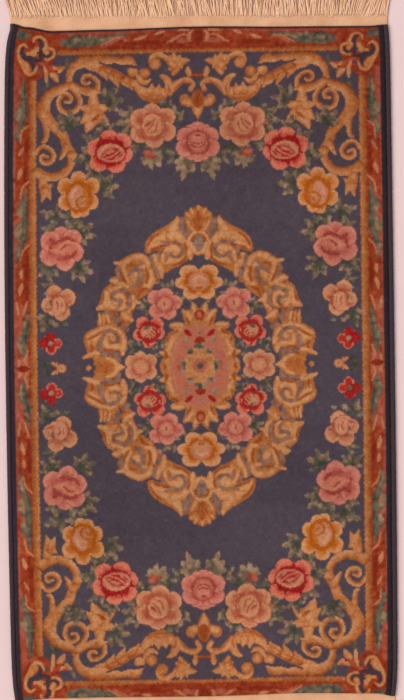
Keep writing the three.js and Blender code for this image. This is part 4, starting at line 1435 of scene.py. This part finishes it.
def noise(wires, place, scale, detail=2.0, roughness=0.5):
    """Even noise of some scale at a place, from 0 to 1."""
    sockets = {"Vector": place, "Scale": scale, "Detail": detail, "Roughness": roughness}
    return wires.node("ShaderNodeTexNoise", None, sockets)


def fibres(wires, place, scale):
    """Fine uneven noise of fibres."""
    return noise(wires, place, scale, detail=3.0, roughness=0.7)


def two_yarns(wires, share, low, high):
    """Goes from one yarn's colour to another's by a share. low and high are each a share and a colour
    as seen, and beyond them the colour stays the same."""
    stops = wires.node("ShaderNodeValToRGB", None, {0: share})
    elements = stops.socket.node.color_ramp.elements
    for element, (position, seen) in zip(elements, (low, high)):
        element.position = position
        element.color = (*linear(seen), 1)
    return stops


def knotted_wool(name, tuft, depth):
    """Cut or woven wool: each face's four knots have a colour each, chosen by where in the face a
    point is. Fibres change its lightness, and every knot stands up as a small dome of tufts."""
    material, wires, shader = new_material(name, roughness=0.92, sheen=0.05, specular=0.1)
    knots = wires.node("ShaderNodeUVMap", {"uv_map": "Knots"})
    across = knots.part(0)
    along = knots.part(1)
    right = across.share() > 0.5
    upper = along.share() > 0.5
    yarns = [wires.node("ShaderNodeAttribute", {"attribute_name": f"knot_{n}"}) for n in range(4)]
    lower_pair = yarns[0].mix(yarns[1], right)
    upper_pair = yarns[2].mix(yarns[3], right)
    place = wires.object_place()
    fibre = fibres(wires, place, scale=900)
    drift = noise(wires, place, scale=14)
    colour = lower_pair.mix(upper_pair, upper).lit(0.82 + fibre * 0.28 + drift * 0.08)
    dome = wires.math("PINGPONG", across * 2 + 0.25, 0.5) + wires.math("PINGPONG", along * 2, 0.5)
    wool_finish(wires, shader, colour, dome * 0.5 + fibre * tuft, depth)
    return material


def overcast_wool(name):
    """Side cord: wool wound round and round, so wraps run across it, some more faded than others, with
    painted shade in the grooves between the wraps.
    """
    material, wires, shader = new_material(name, roughness=0.9, sheen=0.05, specular=0.1)
    wrap = wires.node("ShaderNodeUVMap", {"uv_map": "Wrap"})
    place = wires.object_place()
    fibre = fibres(wires, place, scale=700)
    patch = noise(wires, wrap, scale=9, detail=3.0, roughness=0.6)
    ridge = wrap.part(0).wave() * 0.5 + 0.5
    worn = two_yarns(wires, patch * 0.7 + fibre * 0.3, (0.3, CORD_DARK), (0.72, CORD_FADED))
    # Painted shade: each wrap is lighter on its ridge and darker in the groove between wraps
    colour = worn.lit(0.75 + ridge * 0.35)
    wool_finish(wires, shader, colour, ridge * 0.6 + fibre * 0.6, 0.5 * MM)
    return material


def cotton_cream(wires, place, seen, deep, fibre):
    """Undyed cotton's mottled cream, from its stained parts to its clean ones."""
    stain = noise(wires, place, scale=22, detail=3.0, roughness=0.6)
    return two_yarns(wires, stain * 0.6 + fibre * 0.36, (0.28, deep), (0.66, seen))


def woven_cotton(name, seen, deep, warp, weft):
    """Flat-woven cotton: warp ribs along the rug and finer weft lines across it, painted lighter on their
    crowns and darker between them as shade.
    """
    material, wires, shader = new_material(name, roughness=0.85, sheen=0.1)
    place = wires.object_place()
    across = place.part(0)
    along = place.part(1)
    fibre = fibres(wires, place, scale=800)
    cream = cotton_cream(wires, place, seen, deep, fibre)
    rib = (across * (1 / warp)).wave() * 0.5 + 0.5
    pick = (along * (1 / weft) + (across * (0.5 / warp)).share()).wave() * 0.5 + 0.5
    # Painted shade: lighter on the crowns of picks and ribs, darker in the hollows between them
    colour = cream.lit(0.86 + pick * 0.1 + fibre * 0.1 + rib * 0.04)
    wool_finish(wires, shader, colour, rib * 0.6 + pick * 0.4, 0.35 * MM)
    return material


def loose_cotton(name, seen, deep, shade_colour):
    """Loose cotton yarns: painted browner the lower they lie, as painted shade between them."""
    material, wires, shader = new_material(name, roughness=0.85, sheen=0.1)
    place = wires.object_place()
    height = place.part(2)
    fibre = fibres(wires, place, scale=800)
    cream = cotton_cream(wires, place, seen, deep, fibre)
    # Painted shade: the lower a yarn lies, the more its cream goes to the shade colour
    span = {0: height, 1: PAINTED_SHADE_FROM, 2: PAINTED_SHADE_TO, 3: 0.0, 4: 1.0}
    low = wires.node("ShaderNodeMapRange", None, span)
    colour = cream.mix((*linear(shade_colour), 1), low)
    wool_finish(wires, shader, colour.lit(0.93 + fibre * 0.1), fibre, 0.3 * MM)
    return material


# Meshes

UNDER_LIGHT = 0.12  # grey of a sheet's hidden side, in linear light


def new_piece(name, points, faces, material, maps=None, colours=None, flat_faces=0):
    """Puts points, faces, UV maps and face colours into a mesh. The last flat_faces stay flat."""
    mesh = bpy.data.meshes.new(name)
    mesh.from_pydata(points.reshape(-1, 3).tolist(), [], faces)
    for title, places in (maps or {}).items():
        layer = mesh.uv_layers.new(name=title)
        layer.uv.foreach_set("vector", np.asarray(places, np.float32).ravel())
    for title, values in (colours or {}).items():
        layer = mesh.attributes.new(title, "FLOAT_COLOR", "FACE")
        full = np.column_stack((values, np.ones(len(values)))).astype(np.float32)
        layer.data.foreach_set("color", full.ravel())
    smooth = np.ones(len(faces), bool)
    smooth[len(faces) - flat_faces :] = False
    mesh.polygons.foreach_set("use_smooth", smooth)
    mesh.materials.append(material)
    mesh.update()
    piece = bpy.data.objects.new(name, mesh)
    bpy.context.scene.collection.objects.link(piece)
    return piece


def rim_places(rows, columns):
    """The places of a grid's rim as row and column, once round, starting at its first point."""
    near = [(0, c) for c in range(columns)]
    right = [(r, columns) for r in range(rows)]
    far = [(rows, c) for c in range(columns, 0, -1)]
    left = [(r, 0) for r in range(rows, 0, -1)]
    return np.array(near + right + far + left)


def bake_places(shown, rim, rings, turned):
    """Places for baking, in parts that don't overlap: the shown side fills most of the square, the
    rings are thin strips below it, and the hidden side is squeezed into a column at its right."""
    field_low, field_size = (0.01, 0.03), (0.97, 0.96)
    column_low, column_size = (0.986, 0.03), (0.01, 0.96)
    strips_low, strips_size = 0.002, 0.02
    count = len(rim)
    first = np.arange(count) / count
    last = first + 1 / count
    step = strips_size / rings
    strips = []
    for level in range(rings):
        low = np.full(count, strips_low + step * level)
        high = np.full(count, strips_low + step * (level + 0.8))
        corners = ((first, low), (last, low), (last, high), (first, high))
        strips.append(np.stack([np.column_stack(corner) for corner in corners], 1))
    strips = np.concatenate(strips)
    hidden = column_low + rim * column_size
    if turned:
        strips = strips[:, ::-1]
    else:
        hidden = hidden[::-1]
    return np.concatenate((field_low + shown * field_size, strips.reshape(-1, 2), hidden))


def closed_cloth(name, grid, rings, material, blocks=None, turned=False):
    """A sheet closed all round: a grid of points for its shown side, then its rim carried through
    rings of how far out and how high, and one flat face for the hidden side. Turned sheets show
    their underside. Blocks are four colours to each face of the grid."""
    rows, columns = grid.shape[0] - 1, grid.shape[1] - 1
    number = np.arange(grid.shape[0] * grid.shape[1]).reshape(grid.shape[:2])
    quads = np.stack((number[:-1, :-1], number[:-1, 1:], number[1:, 1:], number[1:, :-1]), -1)
    quads = quads.reshape(-1, 4)
    rim = rim_places(rows, columns)
    edge = grid[rim[:, 0], rim[:, 1]]
    ahead = np.roll(edge, -1, 0) - np.roll(edge, 1, 0)
    outward = np.column_stack((ahead[:, 1], -ahead[:, 0])) / np.hypot(ahead[:, 0], ahead[:, 1])[:, None]
    count = len(rim)
    loops = [number[rim[:, 0], rim[:, 1]]]
    points = [grid.reshape(-1, 3)]
    for level, (out, height) in enumerate(rings):
        ring = np.column_stack((edge[:, :2] + outward * out, np.full(count, height)))
        points.append(ring)
        loops.append(number.size + level * count + np.arange(count))
    walls = [
        np.stack((low, np.roll(low, -1), np.roll(high, -1), high), -1)
        for high, low in zip(loops[:-1], loops[1:])
    ]
    walls = np.concatenate(walls)
    faces = np.concatenate((quads, walls))
    closing = loops[-1][::-1]
    if turned:
        faces = faces[:, ::-1]
        closing = closing[::-1]
    along, across = np.divmod(np.arange(number.size), columns + 1)
    knots = np.vstack([np.column_stack((across, along))] + [rim[:, ::-1]] * len(rings))
    shown = np.column_stack((across / columns, along / rows))[faces[: len(quads)]].reshape(-1, 2)
    bake = bake_places(shown, rim[:, ::-1] / (columns, rows), len(rings), turned)
    read = np.concatenate((knots[faces].reshape(-1, 2), knots[closing]))
    colours = None
    if blocks is not None:
        inner = np.minimum(rim, (rows - 1, columns - 1))
        skirt = np.tile(blocks[inner[:, 0], inner[:, 1]], (len(rings), 1, 1))
        under = np.full((1, 4, 3), UNDER_LIGHT)
        full = np.concatenate((blocks.reshape(-1, 4, 3), skirt, under))
        colours = {f"knot_{n}": full[:, n] for n in range(4)}
    every = faces.tolist() + [closing.tolist()]
    return new_piece(name, np.vstack(points), every, material, {"Knots": read, "OFBake": bake}, colours, 1)


def rug_plan(rows, columns, inset):
    """The pile's plan as a grid: each row runs from side line to side line, and the rows near an end
    take on that end's uneven line, more the nearer they are. Rows run a little askew between."""
    along = np.linspace(-1, 1, rows + 1)[:, None]
    across = np.linspace(-1, 1, columns + 1)[None, :]
    left = side_line("left", along) + inset
    right = side_line("right", along) - inset
    x = left + (right - left) * (across + 1) / 2
    reach = across * (1 - inset / HALF_WIDTH)
    near_end = np.clip((np.abs(along) - 1 + END_ZONE) / END_ZONE, 0, 1) ** 1.5
    stand = np.where(along > 0, end_stand(FAR, reach), -end_stand(NEAR, reach))
    askew = x * math.tan(ROW_SKEW) * (1 - along**6)
    y = along * HALF_PILE + stand * near_end + askew
    return x, y


def four_to_a_face(knots):
    """The knots two by two, as four colours to each face."""
    return np.stack((knots[0::2, 0::2], knots[0::2, 1::2], knots[1::2, 0::2], knots[1::2, 1::2]), 2)


def make_pile(colours, material):
    """The cut pile: one face to each two by two knots, wavering a little in height and place."""
    rows, columns = colours.shape[0] // 2, colours.shape[1] // 2
    x, y = rug_plan(rows, columns, CORD_WIDTH + SEAM)
    chance = np.random.default_rng(3)
    stray = chance.normal(0, PILE_STRAY, (2, rows + 1, columns + 1))
    inner = np.zeros_like(x)
    inner[1:-1, 1:-1] = 1
    swell = slow_wave(rows + 1, 22, 5)[:, None] * PILE_SWELL
    high = PILE_TOP - PILE_SHORT + swell * inner + chance.normal(0, PILE_ROUGH, x.shape) * inner
    round_off = PILE_ROUND * (1 - inner)
    grid = np.stack((x + stray[0] * inner, y + stray[1] * inner, high - round_off), -1)
    return closed_cloth("knotted_pile", grid, PILE_RINGS, material, four_to_a_face(colours))


def make_back(colours, material):
    """The woven back: the same knots seen from below, two by two to each of a face's quarters."""
    pairs = (colours[0::2] + colours[1::2]) / 2
    pairs = (pairs[:, 0::2] + pairs[:, 1::2]) / 2
    rows, columns = pairs.shape[0] // 2, pairs.shape[1] // 2
    x, y = rug_plan(rows, columns, CORD_WIDTH + 2 * SEAM)
    grid = np.stack((x, y, np.zeros_like(x)), -1)
    blocks = four_to_a_face(pairs)
    return closed_cloth("woven_back", grid, ((0, BACK_TOP),), material, blocks, turned=True)


def tubes(name, centre, aside, lift, material, wrap=None):
    """Tubes carried along paths: centre is path by step, and aside and lift are how far each point of
    the profile stands off it, level and upright. Both ends are closed with a flat face."""
    count, steps, around = aside.shape
    ahead = np.gradient(centre, axis=1)
    level = np.stack((ahead[..., 1], -ahead[..., 0], np.zeros_like(ahead[..., 0])), -1)
    level = level / np.linalg.norm(level, axis=-1, keepdims=True)
    points = centre[:, :, None] + level[:, :, None] * aside[..., None]
    points[..., 2] += lift
    number = np.arange(count * steps * around).reshape(count, steps, around)
    turn = np.roll(number, -1, 2)
    quads = np.stack((number[:, :-1], number[:, 1:], turn[:, 1:], turn[:, :-1]), -1).reshape(-1, 4)
    caps = np.concatenate((number[:, 0], number[:, -1, ::-1]))
    maps = None
    if wrap is not None:
        turns = np.arange(around + 1) / around
        low, high = np.meshgrid(wrap, turns, indexing="ij")
        spots = np.stack((low, high), -1)
        body = np.stack((spots[:-1, :-1], spots[1:, :-1], spots[1:, 1:], spots[:-1, 1:]), -2)
        ends = np.concatenate((spots[0, :-1], spots[-1, :-1][::-1]))
        maps = {"Wrap": np.concatenate((body.reshape(-1, 2), ends))}
    return new_piece(name, points, quads.tolist() + caps.tolist(), material, maps, None, len(caps))


def make_side_cord(side, material):
    """Overcast edge: two warps side by side under one winding, so its section is an oval with a
    shallow groove, and its size swells and narrows once to each wrap."""
    outward = -1 if side == "left" else 1
    place = np.array([outward, outward * (1 - CORD_WIDTH / HALF_WIDTH)])
    far = HALF_PILE + end_stand(FAR, place).min()
    near = HALF_PILE + end_stand(NEAR, place).min()
    y = np.linspace(-near, far, CORD_STEPS)
    x = side_line(side, y / HALF_PILE) - outward * CORD_WIDTH / 2
    around = np.linspace(0, 2 * math.pi, CORD_SIDES, endpoint=False)
    wraps = y / WRAP
    swell = 1 - WRAP_NARROW * (0.5 - 0.5 * np.cos(2 * math.pi * wraps))[:, None]
    swell = swell * (1 - CORD_WANDER * np.abs(slow_wave(y.size, 5, 41))[:, None])
    flat = np.cos(around)[None, :]
    groove = 1 - GROOVE_DEEP * np.exp(-((flat / GROOVE_WIDE) ** 2)) * (np.sin(around) > 0)
    aside = (CORD_WIDTH / 2 - 0.1 * MM) * flat * swell
    lift = CORD_THICK / 2 * np.sin(around)[None, :] * groove * swell
    centre = np.stack((x, y, np.full_like(x, CORD_THICK / 2)), -1)
    return tubes(f"side_cord_{side}", centre[None], aside[None], lift[None], material, wraps)


def make_band(name, end, material):
    """Flat-woven end band: from the pile's uneven edge to a straight outer line, with warp ribs."""
    left = side_line("left", end) + SEAM
    right = side_line("right", end) - SEAM
    across = np.linspace(-1, 1, BAND_COLUMNS + 1)[None, :]
    share = np.linspace(0, 1, BAND_ROWS + 1)[:, None]
    inner = HALF_PILE + end_stand(end, across) + SEAM
    x = left + (right - left) * (across + 1) / 2 + 0 * share
    y = end * (inner + (band_edge(across) - inner) * share)
    rib = BAND_RIB * np.cos(np.arange(BAND_COLUMNS + 1) * math.pi)[None, :]
    buckle = BAND_BUCKLE * slow_wave(BAND_COLUMNS + 1, 18, 21 + end)[None, :] * share
    edge = np.ones_like(x)
    edge[[0, -1]] = 0
    edge[:, [0, -1]] = 0
    z = BAND_THICK - BAND_SHORT + (rib + buckle) * edge - BAND_ROUND * (1 - edge)
    grid = np.stack((x, y, z), -1)
    if end == NEAR:
        grid = grid[::-1]
    return closed_cloth(name, grid, BAND_RINGS, material)


def make_fringe(name, end, material):
    """Fringe: warp yarns that run out of the band in two layers, three yarns to a bundle.

    A yarn leans by the table's share of its length, more or less with its bundle, and strays with its
    own slow wave. In the upper layer a bundle's yarns draw together a little way out, by a bell curve
    of the share along them. Two plies wind round each other, so the section is a turning oval.
    """
    left = side_line("left", end) + SEAM
    right = side_line("right", end) - SEAM
    chance = np.random.default_rng(31 + end)
    count = BUNDLE * BUNDLES
    place = (np.arange(count) + 0.5)[:, None] / count
    bundle = np.arange(count) // BUNDLE
    middle = BUNDLE * (bundle[:, None] + 0.5) / count
    share = np.linspace(0, 1, YARN_STEPS)[None, :]
    gather = np.exp(-(((share - GATHER_AT) / GATHER_RUN) ** 2))
    centre, radius = [], []
    for layer, size in enumerate(YARN_SIZES):
        drawn = layer * chance.uniform(0.0, GATHER_MOST, BUNDLES)[bundle, None] * gather
        sway = chance.normal(0, BUNDLE_SWAY, BUNDLES)[bundle, None]
        sway = sway + chance.normal(0, YARN_SWAY, (count, 1))
        lean = np.interp(2 * place - 1, LEAN_PLACES, LEANS) + layer * sway
        start = band_edge(2 * place - 1) - chance.uniform(1, 1 + YARN_START * layer, (count, 1)) * MM
        long = HALF_TOTAL - chance.uniform(0, YARN_TRIM, (count, 1)) * MM - start
        reach = chance.normal(0, YARN_WAVE, (count, 1))
        wave = reach * np.sin(7 * share + chance.uniform(0, 6, (count, 1))) * share
        x = left + (right - left) * (place + (middle - place) * drawn) + lean * long * share**1.1 + wave
        x = np.clip(x, -HALF_WIDTH - FRINGE_OUT, HALF_WIDTH + FRINGE_OUT)
        emerge = np.clip(4 * share, 0, 1)
        height = (1.3 + layer * (0.5 + 1.2 * emerge)) * MM
        z = height + layer * chance.normal(0, 0.25 * MM, (count, 1)) + 0 * x
        centre.append(np.stack((x, end * (start + long * share), z), -1))
        radius.append(size * (1 - 0.15 * share) + chance.normal(0, 0.08 * MM, (count, 1)))
    centre = np.concatenate(centre)
    radius = np.concatenate(radius)[:, :, None]
    around = np.linspace(0, 2 * math.pi, YARN_SIDES, endpoint=False)
    wind = np.abs(centre[:, :, 1:2]) / PLY_TURN * 2 * math.pi
    plies = 1 + PLY_DEEP * np.cos(2 * around[None, None, :] - wind)
    aside = radius * plies * np.cos(around) * end
    lift = np.maximum(radius * plies * np.sin(around), -centre[:, :, 2:3])
    return tubes(name, centre, aside, lift, material)


# Pieces

colours = knot_colours()
pile_wool = knotted_wool("pile_wool", tuft=1.0, depth=1.0 * MM)
back_wool = knotted_wool("back_wool", tuft=0.3, depth=0.5 * MM)
cord_wool = overcast_wool("cord_wool")
band_cotton = woven_cotton("band_cotton", BAND_CLEAN, BAND_STAINED, BAND_WARP, BAND_WEFT)
fringe_cotton = loose_cotton("fringe_cotton", FRINGE_CLEAN, FRINGE_STAINED, FRINGE_PAINTED_SHADE)

pile = make_pile(colours, pile_wool)
back = make_back(colours, back_wool)
cords = {side: make_side_cord(side, cord_wool) for side in ("left", "right")}
end_names = {FAR: "far", NEAR: "near"}
bands = {end: make_band(f"end_band_{name}", end, band_cotton) for end, name in end_names.items()}
yarns = {end: make_fringe(f"fringe_yarns_{name}", end, fringe_cotton) for end, name in end_names.items()}

for piece in (pile, back):
    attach(piece, "root")
    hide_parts("rug_body")
for side, cord in cords.items():
    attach(cord, "root")
    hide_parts(f"binding_{side}")
for end, name in end_names.items():
    for piece in (bands[end], yarns[end]):
        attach(piece, "root")
        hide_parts(f"fringe_{name}")

# Floor, light and camera. The picture is 404 by 700 and takes in 1.632 m of the rug's length.

FLOOR_PAINT = (234, 204, 202)
FLOOR_HALF = 30.0
FLOOR_DROP = 0.5 * MM
SKY_COLOUR = (1.0, 0.985, 0.98, 1)
SKY_STRENGTH = 0.475
SUN_STRENGTH = 2.22
SUN_SPREAD = math.radians(50)
SUN_TURN = (math.radians(-5), math.radians(-40), 0)
VIEW_LONG = 1632 * MM
VIEW_PLACE = (5.0 * MM, 26.7 * MM, 6.0)
VIEW_TURN = math.radians(-0.8)


def make_floor():
    """A plain pale floor, faintly mottled."""
    material, wires, shader = new_material("floor_paint", roughness=0.8, sheen=0.0)
    place = wires.object_place()
    mottle = noise(wires, place, scale=9, detail=4.0, roughness=0.6)
    pale = wires.node("ShaderNodeRGB")
    pale.socket.default_value = (*linear(FLOOR_PAINT), 1)
    wool_finish(wires, shader, pale.lit(0.97 + mottle * 0.06), mottle, 0.3 * MM)
    corners = np.array([(-1, -1), (1, -1), (1, 1), (-1, 1)]) * FLOOR_HALF
    points = np.column_stack((corners, np.full(4, -FLOOR_DROP)))
    return new_piece("floor", points, [[0, 1, 2, 3]], material, flat_faces=1)


make_floor()

scene = bpy.context.scene
scene.view_settings.view_transform = "Standard"
world = bpy.data.worlds.new("studio")
world.use_nodes = True
sky = world.node_tree.nodes["Background"]
sky.inputs["Color"].default_value = SKY_COLOUR
sky.inputs["Strength"].default_value = SKY_STRENGTH
scene.world = world

lamp = bpy.data.lights.new("soft_sky", "SUN")
lamp.energy = SUN_STRENGTH
lamp.angle = SUN_SPREAD
sun = bpy.data.objects.new("soft_sky", lamp)
sun.rotation_euler = SUN_TURN
scene.collection.objects.link(sun)

lens = bpy.data.cameras.new("overhead")
lens.lens = lens.sensor_width * VIEW_PLACE[2] / VIEW_LONG
camera = bpy.data.objects.new("overhead", lens)
camera.location = VIEW_PLACE
camera.rotation_euler = (0, 0, VIEW_TURN)
scene.collection.objects.link(camera)
scene.camera = camera
